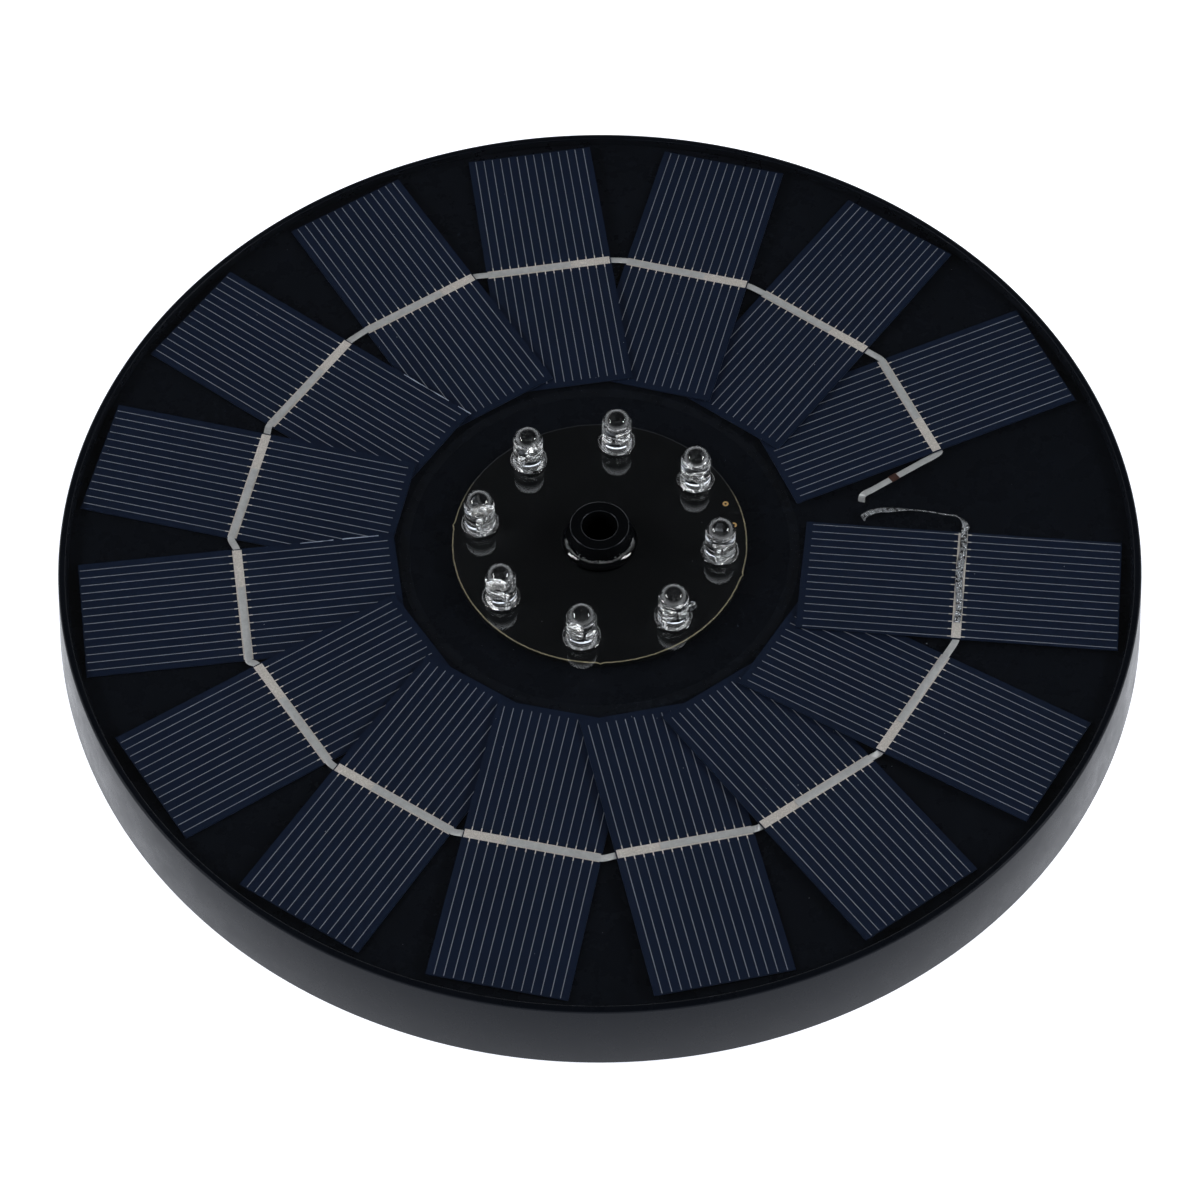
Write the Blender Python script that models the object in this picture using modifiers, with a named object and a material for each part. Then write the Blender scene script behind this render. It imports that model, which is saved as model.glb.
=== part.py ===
"""Solar fountain pump: a round float with solar cells and LEDs under resin, and a submersible pump below it.

Run with: blender --background --python part.py
Metres, +Z up. The origin is on the float's axis, on the plane that the pump stands on. The cells' lead-out is
on the +X side, and the pump's shaft lies along Y with its intake facing -Y.
"""

import math

import bmesh
import bpy
from mathutils import Matrix, Vector

# ---------------------------------------------------------------- clearances
GAP = 0.0003            # between pieces that touch in the real pump
SOLDER_GAP = 0.0001     # between a ribbon and the cell that it is soldered to
RUNNING = 0.00007       # radial clearance of the rotor on its shaft

# ---------------------------------------------------------------- float
RIM_R = 0.0890          # outer radius at the rim's top edge
SKIRT_FLARE = 0.00145   # how much wider the skirt is at its lower edge
DISC_H = 0.0139         # skirt's lower edge to rim
RIM_WALL = 0.0012
SKIRT_WALL = 0.0022
EDGE_ROUND = 0.0004
TRAY_DEPTH = 0.0056     # rim to tray floor, at its middle
DISH_SLOPE = 0.060      # rise of the floor outwards under the cells, per unit of radius
FLOOR_T = 0.0015
RESIN_DROP = 0.0016     # rim to resin surface, at its middle
RESIN_EDGE_DROP = 0.0002    # and at the rim, which the resin creeps up
RESIN_FLAT_R = 0.0300
RESIN_COVER = 0.00015   # from the cells to the clear resin over them
MENISCUS_H = 0.0005
MENISCUS_R = 0.0014
COVER_T = 0.0016
COVER_RECESS = 0.0010   # cover's face above the skirt's lower edge
COVER_RIB_H = 0.0007
COVER_RIB_W = 0.0016
COVER_RIBS = 16
BAY_R = 0.0480          # electronics bay inside the float
BAY_WALL = 0.0015

# ---------------------------------------------------------------- LED board and LEDs
BOARD_R = 0.0247
BOARD_T = 0.0016
BOARD_HOLE_R = 0.0060
BOARD_LIFT = 0.0010     # above the tray floor
LED_COUNT = 8
LED_CIRCLE_R = 0.0200
LED_PHASE = math.radians(-8.6)
LED_R = 0.0025
LED_FLANGE_R = 0.0029
LED_FLANGE_T = 0.0010
LED_H = 0.0086
LED_STANDOFF = 0.0006
LED_LEG = 0.0005        # square leg
LED_PITCH = 0.00254
LED_LEG_HOLE_R = 0.00055

# ---------------------------------------------------------------- solar cells
CELL_COUNT = 15
CELL_FIRST = -9.4       # degrees, the cell beside the lead-out gap
CELL_STEP = -23.0       # degrees, clockwise from above
# how far each cell was laid off its even place, and its twist, in degrees
CELL_LAY = (
    (0.0, 2.2), (-0.8, 0.9), (-0.1, 1.2), (0.9, 0.0), (1.0, -1.0),
    (1.4, 0.9), (2.0, -0.4), (2.7, -3.8), (2.3, -1.3), (2.4, -1.2),
    (0.7, 1.1), (0.7, -0.3), (0.3, -0.9), (-0.5, 1.2), (-0.8, -5.2),
)
CELL_W = 0.0220
CELL_T = 0.00025
CELL_LAP_GAP = 0.0002   # between lapped cells at their inner ends
CELL_BOARD_MARGIN = 0.0090
CELL_RIM_MARGIN = 0.0021
RIBBON_W = 0.0012
RIBBON_T = 0.00015
RIBBON_RUN = 0.0037     # how far past the cell's middle a ribbon runs
RIBBON_UNDERLAP = 0.0030
LEAD_INSET = 0.0014     # lead-out ribbon outside the first cell's edge
LEAD_DROP_INSET = 0.0050    # where the leads go through the floor, inside the bay's wall
LEAD_SPACING = 0.0035
LEAD_HOLE = 0.0026

# ---------------------------------------------------------------- spout
SPOUT_BORE_R = 0.00295
SPOUT_TOP_R = 0.0049
SPOUT_BASE_R = 0.0051
SPOUT_RISE = 0.0035     # above the resin
SPOUT_CHAMFER = 0.0003
SPOUT_FLANGE_R = 0.0085
SPOUT_FLANGE_T = 0.0012
SOCKET_WALL = 0.0018
OUTLET_WALL = 0.00145
OUTLET_INSERT = 0.0045  # pump outlet inside the socket
SEAL_R = 0.0005
SEAL_GROOVE = 0.0009

# ---------------------------------------------------------------- pump
CHAMBER_R = 0.0115
CHAMBER_DEPTH = 0.0090
PUMP_WALL = 0.0025
PUMP_ROUND = 0.0020
FACE_Y = -0.0050        # front face of the pump body
BACK_WALL = 0.0020      # chamber to motor cavity
WELL_R = 0.0073
WELL_WALL = 0.0011
WELL_DEPTH = 0.0177     # from the chamber's back wall
CAVITY_WALL = 0.0018
COIL_BAY = 0.0072       # room for the coil beside the well
CAP_T = 0.0017
CAP_TONGUE = 0.0015
LID_T = 0.0016
EYE_R = 0.0045
HUB_R = 0.0025
HUB_L = 0.0030
SPOKE_W = 0.0014
COVER_DEPTH = 0.0137    # intake cover, front to back
INTAKE_WALL = 0.0015
INTAKE_TRAVEL = 0.0300  # how far the intake cover draws off to clean the sponge
SLOT_W = 0.0016
SLOT_PITCH = 0.0036
SLOT_COUNT = 7
SIDE_SLOTS = 3
SPONGE_T = 0.0072
SHAFT_R = 0.0010
IMPELLER_R = 0.0104
VANE_COUNT = 6
VANE_T = 0.0011
VANE_H = 0.0050
DISC_T = 0.0010
SLEEVE_R = 0.0032
MAGNET_R = 0.0066
MAGNET_L = 0.0142
BUSH_R = 0.0023
BUSH_L = 0.0012
CORE_DEPTH = 0.0100
CORE_LEG = 0.0030
COIL_BUILD = 0.0022
LEAD_R = 0.0009

# ---------------------------------------------------------------- parts inside the float
BATTERY = (0.0300, 0.0330, 0.0036)
CONTROL_BOARD = (0.0320, 0.0170, 0.0012)
MOTOR_HOLE_R = 0.0016

# ---------------------------------------------------------------- worked out from the sizes above
PUMP_H = 2 * (CHAMBER_R + PUMP_WALL)
AXIS_X = -(CHAMBER_R - SPOUT_BORE_R - 0.00055)
AXIS_Z = PUMP_H / 2
COVER_Z = PUMP_H + GAP                      # underside of the bottom cover
SKIRT_Z = COVER_Z - COVER_RECESS
RIM_Z = SKIRT_Z + DISC_H
FLOOR_Z = RIM_Z - TRAY_DEPTH
RESIN_Z = RIM_Z - RESIN_DROP
BAY_LOW = COVER_Z + COVER_T + GAP
BAY_TOP = FLOOR_Z - FLOOR_T - GAP
TRAY_R = RIM_R - RIM_WALL
SKIRT_R = RIM_R + SKIRT_FLARE
BOARD_Z = FLOOR_Z + BOARD_LIFT              # LED board's underside
BOARD_TOP = BOARD_Z + BOARD_T
LED_Z = BOARD_TOP + LED_STANDOFF
CELL_IN_R = BOARD_R + CELL_BOARD_MARGIN
CELL_OUT_R = TRAY_R - CELL_RIM_MARGIN
CELL_L = CELL_OUT_R - CELL_IN_R
CELL_RING_R = (CELL_OUT_R + CELL_IN_R) / 2
LEAD_RUN = CELL_RING_R - (BAY_R - LEAD_DROP_INSET)  # lead-out ribbon inwards from the busbar
CELL_ANGLES = [CELL_FIRST + CELL_STEP * n + off for n, (off, _) in enumerate(CELL_LAY)]
CLOSEST_STEP = min(a - b for a, b in zip(CELL_ANGLES, CELL_ANGLES[1:]))


def chord(radius, degrees):
    return 2 * radius * math.sin(math.radians(degrees) / 2)


# each cell leans so that it passes over the next one, and so that a ribbon fits between them
TWIST_SLACK = 0.0012
INNER_STEP = chord(CELL_IN_R, CLOSEST_STEP) - TWIST_SLACK
DISH_R = CELL_IN_R - 0.0010                  # where the floor starts to rise
# a flat cell lies below a dished floor's height at its own corners by this much
CELL_SAG = DISH_SLOPE * (math.hypot(CELL_IN_R, CELL_W / 2) - CELL_IN_R)
CELL_SLOPE = max(
    (CELL_T + CELL_LAP_GAP + CELL_SAG) / INNER_STEP,
    (CELL_T + RIBBON_T + 2 * SOLDER_GAP + CELL_LAP_GAP) / chord(CELL_RING_R, CLOSEST_STEP),
)
CELL_RISE = CELL_SLOPE * CELL_W / 2
CELL_Z = FLOOR_Z + GAP + CELL_RISE + CELL_T / 2 + CELL_SAG + DISH_SLOPE * (CELL_RING_R - DISH_R)
RIBBON_LIFT = CELL_T / 2 + SOLDER_GAP + RIBBON_T / 2
RESIN_LOW = CELL_Z + CELL_RISE + CELL_T / 2 + RESIN_COVER     # the resin's underside at the busbars
SPOUT_TOP = RESIN_Z + SPOUT_RISE
TRAY_HOLE_R = SPOUT_BASE_R + 0.0004
OUTLET_R = SPOUT_BORE_R + OUTLET_WALL
SOCKET_R = OUTLET_R + 0.00035
OUTLET_TOP = PUMP_H + OUTLET_INSERT
SOCKET_TOP = OUTLET_TOP + GAP
SOCKET_LOW = PUMP_H + 2 * GAP
COVER_HOLE_R = SOCKET_R + SOCKET_WALL + GAP
SEAL_Z = PUMP_H + OUTLET_INSERT / 2

CHAMBER_Y = FACE_Y + CHAMBER_DEPTH          # chamber's back wall
WELL_END = CHAMBER_Y + WELL_DEPTH
WELL_OUT_R = WELL_R + WELL_WALL
BUSH_SEAT_R = BUSH_R + GAP
BUSH_Y = WELL_END + GAP - BUSH_L / 2 + 0.0002
CAVITY_Y = CHAMBER_Y + BACK_WALL
WELL_BACK = WELL_END + 0.0015
BODY_BACK = WELL_BACK + 0.0038
CAVITY_X = (AXIS_X - WELL_OUT_R - COIL_BAY - 0.0016, AXIS_X + CHAMBER_R + 0.0007)
BODY_X = (CAVITY_X[0] - CAVITY_WALL, CAVITY_X[1] + CAVITY_WALL)
CAVITY_Z = (CAVITY_WALL, PUMP_H - CAVITY_WALL)
LID_Y = FACE_Y - GAP - LID_T                # front face of the volute lid
COVER_BACK = FACE_Y - GAP
COVER_FRONT = COVER_BACK - COVER_DEPTH
# the ribs start outside the reach of the intake cover's corner when it is drawn off
COVER_RIB_INNER_R = math.hypot(BODY_X[0], COVER_FRONT - INTAKE_TRAVEL) + 0.001
HUB_Y = LID_Y + LID_T - HUB_L               # front of the lid's hub
SHAFT_Y = (HUB_Y + 0.0004, WELL_END + 0.0004)
MAGNET_Y = CHAMBER_Y + 0.0024
DISC_Y = CHAMBER_Y - 0.0006                 # back face of the impeller's disc
POLE_R = WELL_OUT_R + 0.0004
CORE_Y = MAGNET_Y + MAGNET_L / 2
CORE_X = (CAVITY_X[0] + GAP + COIL_BUILD + 0.0001, AXIS_X + POLE_R + 0.0022)
CORE_Z = (CAVITY_Z[0] + 0.0004, CAVITY_Z[1] - 0.0004)
CORE_ARM = 0.0040
MOTOR_LEAD_X = AXIS_X - WELL_OUT_R - 0.0016
MOTOR_LEAD_Y = WELL_END + 0.0008

ROUND_DISC = 96
ROUND_MID = 32
ROUND_SMALL = 20
ROUND_PIN = 12


# ---------------------------------------------------------------- scene, collections and materials
for old in list(bpy.data.objects):
    bpy.data.objects.remove(old)
PARTS = bpy.data.collections.new("solar_fountain_pump")
CUTTERS = bpy.data.collections.new("cutters")
bpy.context.scene.collection.children.link(PARTS)
bpy.context.scene.collection.children.link(CUTTERS)
CUTTERS.hide_render = True


def material(name, colour, roughness, metallic=0.0, transmission=0.0):
    made = bpy.data.materials.new(name)
    made.use_nodes = True
    shader = made.node_tree.nodes["Principled BSDF"]
    shader.inputs["Base Color"].default_value = (*colour, 1.0)
    shader.inputs["Roughness"].default_value = roughness
    shader.inputs["Metallic"].default_value = metallic
    shader.inputs["Transmission Weight"].default_value = transmission
    made.diffuse_color = (*colour, 1.0)
    return made


BLACK_ABS = material("black_abs", (0.018, 0.019, 0.022), 0.35)
PUMP_ABS = material("pump_abs", (0.014, 0.014, 0.015), 0.45)
RESIN = material("clear_resin", (0.02, 0.022, 0.025), 0.05, transmission=0.8)
SILICON = material("silicon_cell", (0.006, 0.009, 0.020), 0.25)
TINNED = material("tinned_copper", (0.45, 0.44, 0.42), 0.35, metallic=1.0)
LED_EPOXY = material("led_epoxy", (0.9, 0.9, 0.92), 0.03, transmission=1.0)
BOARD_MASK = material("black_solder_mask", (0.010, 0.009, 0.008), 0.30)
GREEN_MASK = material("green_solder_mask", (0.010, 0.075, 0.030), 0.35)
EVA = material("eva_foam", (0.030, 0.030, 0.032), 0.90)
SPONGE = material("filter_sponge", (0.020, 0.022, 0.025), 0.95)
RUBBER = material("nitrile_rubber", (0.012, 0.012, 0.012), 0.60)
POUCH = material("battery_pouch", (0.55, 0.56, 0.58), 0.35, metallic=0.6)
LAMINATION = material("core_steel", (0.32, 0.32, 0.34), 0.45, metallic=1.0)
COPPER = material("enamelled_copper", (0.50, 0.16, 0.05), 0.35, metallic=1.0)
FERRITE = material("ferrite_magnet", (0.045, 0.043, 0.045), 0.55)
CERAMIC = material("ceramic", (0.80, 0.79, 0.74), 0.20)
WHITE_POM = material("white_pom", (0.62, 0.62, 0.60), 0.40)
PVC = material("pvc_sheath", (0.020, 0.020, 0.022), 0.50)


# ---------------------------------------------------------------- shape functions
def place(mesh_or_curve, name, look=None, matrix=None):
    """An object in the parts' collection, or a hidden cutter where it has no material."""
    obj = bpy.data.objects.new(name, mesh_or_curve)
    if matrix is not None:
        obj.matrix_world = matrix
    if look is None:
        obj.hide_render = True
        obj.display_type = "WIRE"
        CUTTERS.objects.link(obj)
    else:
        if not mesh_or_curve.materials:
            mesh_or_curve.materials.append(look)
        PARTS.objects.link(obj)
    return obj


def turned(name, profile, look=None, steps=ROUND_MID, closed=False, matrix=None):
    """A turned shape about Z: profile is (radius, height) points, down the outer side, up the inner one."""
    mesh = bpy.data.meshes.new(name)
    edges = [(i, i + 1) for i in range(len(profile) - 1)]
    if closed:
        edges.append((len(profile) - 1, 0))
    mesh.from_pydata([(r, 0.0, z) for r, z in profile], edges, [])
    obj = place(mesh, name, look, matrix)
    screw = obj.modifiers.new("turn", "SCREW")
    screw.axis = "Z"
    screw.steps = steps
    screw.render_steps = steps
    screw.use_merge_vertices = True
    screw.merge_threshold = 0.00001
    screw.use_smooth_shade = True
    return obj


def along_y(x, y, z):
    """Turns a shape's own Z to world +Y and puts its origin at a point."""
    return Matrix.Translation((x, y, z)) @ Matrix.Rotation(math.radians(-90), 4, "X")


def cylinder(name, radius, low, high, look=None, steps=ROUND_MID, matrix=None):
    return turned(name, [(0, high), (radius, high), (radius, low), (0, low)], look, steps, matrix=matrix)


def ring(name, inner, outer, low, high, look=None, steps=ROUND_MID, matrix=None):
    profile = [(inner, high), (outer, high), (outer, low), (inner, low)]
    return turned(name, profile, look, steps, closed=True, matrix=matrix)


def add_box(bm, low, high, round_axis=None, radius=0.0, segments=4):
    """A box in bm between two corners, with the edges along one axis, or all of them, rounded."""
    low, high = Vector(low), Vector(high)
    made = bmesh.ops.create_cube(bm, size=1.0)["verts"]
    size = high - low
    bmesh.ops.scale(bm, vec=size, verts=made)
    bmesh.ops.translate(bm, vec=(low + high) / 2, verts=made)
    if radius > 0:
        edges = {e for v in made for e in v.link_edges}
        if round_axis is not None:
            half = size[round_axis] / 2
            edges = {e for e in edges if abs((e.verts[0].co - e.verts[1].co)[round_axis]) > half}
        bmesh.ops.bevel(
            bm, geom=list(edges), offset=radius, segments=segments, profile=0.5, affect="EDGES",
            clamp_overlap=True,
        )


def box(name, low, high, look=None, round_axis=None, radius=0.0, segments=4, matrix=None):
    mesh = bpy.data.meshes.new(name)
    bm = bmesh.new()
    add_box(bm, low, high, round_axis, radius, segments)
    bm.to_mesh(mesh)
    bm.free()
    return place(mesh, name, look, matrix)


def boxes(name, corners, look=None, matrices=None):
    """Several boxes that don't meet, in one mesh, each with its own matrix if matrices are given."""
    mesh = bpy.data.meshes.new(name)
    bm = bmesh.new()
    for index, (low, high) in enumerate(corners):
        before = set(bm.verts)
        add_box(bm, low, high)
        if matrices:
            new = [v for v in bm.verts if v not in before]
            bmesh.ops.transform(bm, matrix=matrices[index], verts=new)
    bm.to_mesh(mesh)
    bm.free()
    return place(mesh, name, look)


def join(target, other, operation):
    modifier = target.modifiers.new(f"{operation.lower()}_{other.name}", "BOOLEAN")
    modifier.operation = operation
    modifier.solver = "EXACT"
    modifier.object = other
    return target


def cut(target, *others):
    for other in others:
        join(target, other, "DIFFERENCE")
    return target


def add(target, *others):
    for other in others:
        join(target, other, "UNION")
    return target


def arc(centre, radius, start, end, count):
    """Points of a circle's arc in a profile, from one angle to another, in degrees."""
    turns = [math.radians(start + (end - start) * i / count) for i in range(count + 1)]
    return [(centre[0] + radius * math.cos(t), centre[1] + radius * math.sin(t)) for t in turns]


def polar(radius, angle, z=0.0):
    return Vector((radius * math.cos(angle), radius * math.sin(angle), z))


def moves_with(name, location, *pieces):
    """An empty on a joint's axis that carries the pieces that the joint moves."""
    empty = bpy.data.objects.new(name, None)
    empty.empty_display_size = 0.005
    empty.location = location
    PARTS.objects.link(empty)
    for piece in pieces:
        piece.parent = empty
        piece.matrix_parent_inverse = Matrix.Translation(location).inverted()


# ---------------------------------------------------------------- where the cells lie
def cell_matrix(index):
    """A cell's own frame: X outwards and up the dish, Y anticlockwise, Z off its face, leaning down to +Y."""
    angle = math.radians(CELL_ANGLES[index])
    twist = math.radians(CELL_LAY[index][1])
    lean = Matrix.Rotation(-math.atan(CELL_SLOPE), 4, "X")
    rise = Matrix.Rotation(-math.atan(DISH_SLOPE), 4, "Y")
    turn = Matrix.Rotation(angle + twist, 4, "Z")
    return Matrix.Translation(polar(CELL_RING_R, angle, CELL_Z)) @ turn @ rise @ lean


LEAD_Y = CELL_W / 2 + LEAD_INSET
DROP_A = cell_matrix(0) @ Vector((-LEAD_RUN, LEAD_Y, 0))
DROP_B = DROP_A + Vector((0, LEAD_SPACING, 0))
LEAD_LOW = BAY_LOW + CONTROL_BOARD[2] + GAP


# ---------------------------------------------------------------- float tray
def dish_rise(radius):
    return DISH_SLOPE * max(0.0, radius - DISH_R)


def make_float_tray():
    """The moulded dish: rim, rising floor, drafted skirt, and the electronics bay's wall under the floor."""
    inner_skirt = SKIRT_R - SKIRT_WALL
    skirt_root = inner_skirt - SKIRT_FLARE / 2
    bay_outer = BAY_R + BAY_WALL
    under_floor = FLOOR_Z - FLOOR_T
    bay_foot = BAY_LOW
    profile = [(TRAY_R, RIM_Z)]
    profile += arc((RIM_R - EDGE_ROUND, RIM_Z - EDGE_ROUND), EDGE_ROUND, 90, 0, 3)
    profile += arc((SKIRT_R - EDGE_ROUND, SKIRT_Z + EDGE_ROUND), EDGE_ROUND, 0, -90, 3)
    profile += [
        (inner_skirt, SKIRT_Z),
        (skirt_root, under_floor + dish_rise(skirt_root)),
        (bay_outer, under_floor + dish_rise(bay_outer)),
        (bay_outer, bay_foot),
        (BAY_R, bay_foot),
        (BAY_R, under_floor),
        (TRAY_HOLE_R, under_floor),
        (TRAY_HOLE_R, FLOOR_Z),
        (DISH_R, FLOOR_Z),
        (TRAY_R - 0.0003, FLOOR_Z + dish_rise(TRAY_R - 0.0003)),
    ]
    tray = turned("float_tray", profile, BLACK_ABS, ROUND_DISC, closed=True)
    half = LEAD_HOLE / 2
    reach = FLOOR_T
    holes = [
        (
            Vector((p.x - half, p.y - half, under_floor - reach)),
            Vector((p.x + half, p.y + half, FLOOR_Z + reach)),
        )
        for p in (DROP_A, DROP_B)
    ]
    slot = box("lead_slot_cutter", holes[0][0], holes[1][1])
    wire_hole = cylinder(
        "led_wire_cutter", 0.0018, -reach, FLOOR_T + reach, steps=ROUND_SMALL,
        matrix=Matrix.Translation((BOARD_R / 2, -BOARD_R / 3, under_floor)),
    )
    return cut(tray, slot, wire_hole)


# ---------------------------------------------------------------- resin
def led_spots():
    return [polar(LED_CIRCLE_R, LED_PHASE + k * math.tau / LED_COUNT) for k in range(LED_COUNT)]


def make_resin():
    """The clear casting over cells and board, which creeps up the spout, and up to the rim as it shrinks."""
    outer = TRAY_R - GAP
    inner = SPOUT_BASE_R + GAP
    step_r = BOARD_R + 2 * GAP
    edge_z = RIM_Z - RESIN_EDGE_DROP
    low_r = CELL_IN_R - GAP
    low_in = RESIN_LOW + DISH_SLOPE * (low_r - CELL_RING_R)
    low_out = RESIN_LOW + DISH_SLOPE * (outer - CELL_RING_R)
    profile = [
        (inner, RESIN_Z + MENISCUS_H),
        (inner + MENISCUS_R * 0.35, RESIN_Z + MENISCUS_H * 0.3),
        (inner + MENISCUS_R, RESIN_Z),
        (RESIN_FLAT_R, RESIN_Z),
        (outer - MENISCUS_R, edge_z),
        (outer, edge_z + 0.0001),
        (outer, low_out),
        (low_r, low_in),
        (step_r, low_in),
        (step_r, BOARD_TOP + GAP),
        (inner, BOARD_TOP + GAP),
    ]
    resin = turned("resin_fill", profile, RESIN, ROUND_DISC, closed=True)
    hole_r = LED_FLANGE_R + GAP
    for number, spot in enumerate(led_spots(), 1):
        matrix = Matrix.Translation((spot.x, spot.y, BOARD_TOP))
        hole = cylinder(
            f"led_hole_cutter_{number}", hole_r, -0.002, 0.006, steps=ROUND_SMALL, matrix=matrix,
        )
        cut(resin, hole)
    return resin


# ---------------------------------------------------------------- solar cells and their ribbons
def make_cells():
    mesh = bpy.data.meshes.new("solar_cell")
    bm = bmesh.new()
    add_box(bm, (-CELL_L / 2, -CELL_W / 2, -CELL_T / 2), (CELL_L / 2, CELL_W / 2, CELL_T / 2))
    bm.to_mesh(mesh)
    bm.free()
    for index in range(CELL_COUNT):
        place(mesh, f"solar_cell_{index + 1:02d}", SILICON, cell_matrix(index))


def ribbon_corners(start, end):
    low = RIBBON_LIFT - RIBBON_T / 2
    return (-RIBBON_W / 2, start, low), (RIBBON_W / 2, end, low + RIBBON_T)


def make_ribbons():
    """Ribbon n lies on cell n's busbar and reaches under cell n-1, whose back it is soldered to."""
    for index in range(1, CELL_COUNT):
        step = CELL_ANGLES[index - 1] - CELL_ANGLES[index]
        reach = chord(CELL_RING_R, step) - CELL_W / 2 + RIBBON_UNDERLAP
        low, high = ribbon_corners(-RIBBON_RUN, reach)
        box(f"tab_ribbon_{index + 1:02d}", low, high, TINNED, matrix=cell_matrix(index))


def make_lead_out():
    """The first cell's ribbon turns inwards beside the cell, and drops through the floor to the board."""
    frame = cell_matrix(0)
    low, high = ribbon_corners(-2 * RIBBON_RUN, LEAD_Y + RIBBON_W / 2)
    ribbon = box("tab_ribbon_01", low, high, TINNED, matrix=frame)
    z_low, z_high = low[2], high[2]
    arm_low = (-LEAD_RUN - RIBBON_W / 2, LEAD_Y - RIBBON_W / 2, z_low - 0.00002)
    arm_high = (RIBBON_W / 2 - 0.00002, LEAD_Y + RIBBON_W / 2 - 0.00002, z_high - 0.00003)
    arm = box("lead_arm_tool", arm_low, arm_high, matrix=frame)
    top = (frame @ Vector((-LEAD_RUN, LEAD_Y, z_low))).z + 0.00008
    leg = drop_leg("lead_leg_tool", DROP_A, top)
    return add(ribbon, arm, leg)


def drop_leg(name, spot, top):
    half = RIBBON_W / 2 - 0.00005
    thin = 0.0002
    return box(name, (spot.x - thin, spot.y - half, LEAD_LOW), (spot.x + thin, spot.y + half, top))


def make_back_lead():
    """The last cell's back lead: from under its free edge along the floor, and down beside the other one."""
    frame = cell_matrix(CELL_COUNT - 1)
    start = frame @ Vector((0, -CELL_W / 2 + 0.0035, 0))
    run = Vector((DROP_B.x - start.x, DROP_B.y - start.y, 0))
    fall = DISH_SLOPE * (math.hypot(start.x, start.y) - math.hypot(DROP_B.x, DROP_B.y))
    start.z = CELL_Z - 0.0004
    turn = Matrix.Rotation(math.atan2(run.y, run.x), 4, "Z")
    dip = Matrix.Rotation(math.atan(fall / run.length), 4, "Y")
    matrix = Matrix.Translation(start) @ turn @ dip
    strip = box(
        "lead_ribbon", (0, -RIBBON_W / 2, 0), (run.length + 0.0004, RIBBON_W / 2, RIBBON_T), TINNED,
        matrix=matrix,
    )
    return add(strip, drop_leg("back_leg_tool", DROP_B, start.z - fall + RIBBON_T / 2))


# ---------------------------------------------------------------- LED board and LEDs
def leg_spots():
    """Every LED leg's place: each pair stands across the radius."""
    for spot in led_spots():
        across = Vector((-spot.y, spot.x, 0)).normalized() * LED_PITCH / 2
        yield spot + across
        yield spot - across


def make_led_board():
    board = ring("led_board", BOARD_HOLE_R, BOARD_R, BOARD_Z, BOARD_TOP, BOARD_MASK, 64)
    for number, spot in enumerate(leg_spots(), 1):
        matrix = Matrix.Translation((spot.x, spot.y, BOARD_Z))
        leg = cylinder(f"leg_hole_cutter_{number}", LED_LEG_HOLE_R, -0.001, 0.003, steps=8, matrix=matrix)
        cut(board, leg)
    return board


def make_leds():
    """A 5 mm round LED: domed epoxy body, flange and two legs through the board."""
    dome_z = LED_H - LED_R
    profile = [(0, LED_H)] + arc((0, dome_z), LED_R, 72, 0, 4)
    profile += [(LED_R, LED_FLANGE_T), (LED_FLANGE_R, LED_FLANGE_T), (LED_FLANGE_R, 0), (0, 0)]
    leg_low = BOARD_Z - LED_Z + 0.0001
    for number, spot in enumerate(led_spots(), 1):
        turn = Matrix.Rotation(math.atan2(spot.y, spot.x), 4, "Z")
        matrix = Matrix.Translation((spot.x, spot.y, LED_Z)) @ turn
        led = turned(f"led_{number:02d}", profile, LED_EPOXY, ROUND_SMALL, matrix=matrix)
        half = LED_LEG / 2
        corners = []
        for middle in (-LED_PITCH / 2, LED_PITCH / 2):
            corners.append(((-half, middle - half, leg_low), (half, middle + half, LED_FLANGE_T / 2)))
        legs = boxes(f"led_legs_tool_{number}", corners)
        legs.matrix_world = matrix
        add(led, legs)


# ---------------------------------------------------------------- spout
def make_spout():
    """The tube that the nozzle plugs into: bonded under the floor, with a socket for the pump's outlet."""
    flange_z = FLOOR_Z - FLOOR_T - GAP
    out_r = SOCKET_R + SOCKET_WALL
    profile = [
        (SPOUT_BORE_R + SPOUT_CHAMFER, SPOUT_TOP),
        (SPOUT_TOP_R - SPOUT_CHAMFER, SPOUT_TOP),
        (SPOUT_TOP_R, SPOUT_TOP - SPOUT_CHAMFER),
        (SPOUT_BASE_R, RESIN_Z),
        (SPOUT_BASE_R, flange_z),
        (SPOUT_FLANGE_R, flange_z),
        (SPOUT_FLANGE_R, flange_z - SPOUT_FLANGE_T),
        (out_r, flange_z - SPOUT_FLANGE_T),
        (out_r, SOCKET_LOW),
        (SOCKET_R, SOCKET_LOW),
        (SOCKET_R, SOCKET_TOP),
        (SPOUT_BORE_R, SOCKET_TOP),
        (SPOUT_BORE_R, SPOUT_TOP - SPOUT_CHAMFER),
    ]
    return turned("spout_tube", profile, PUMP_ABS, ROUND_MID, closed=True)


def make_spout_seal():
    centre_r = SOCKET_R - SEAL_R - 0.00012
    circle = arc((centre_r, SEAL_Z), SEAL_R, 90, -270, 8)[:-1]
    return turned("spout_seal", circle, RUBBER, ROUND_MID, closed=True)


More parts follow.
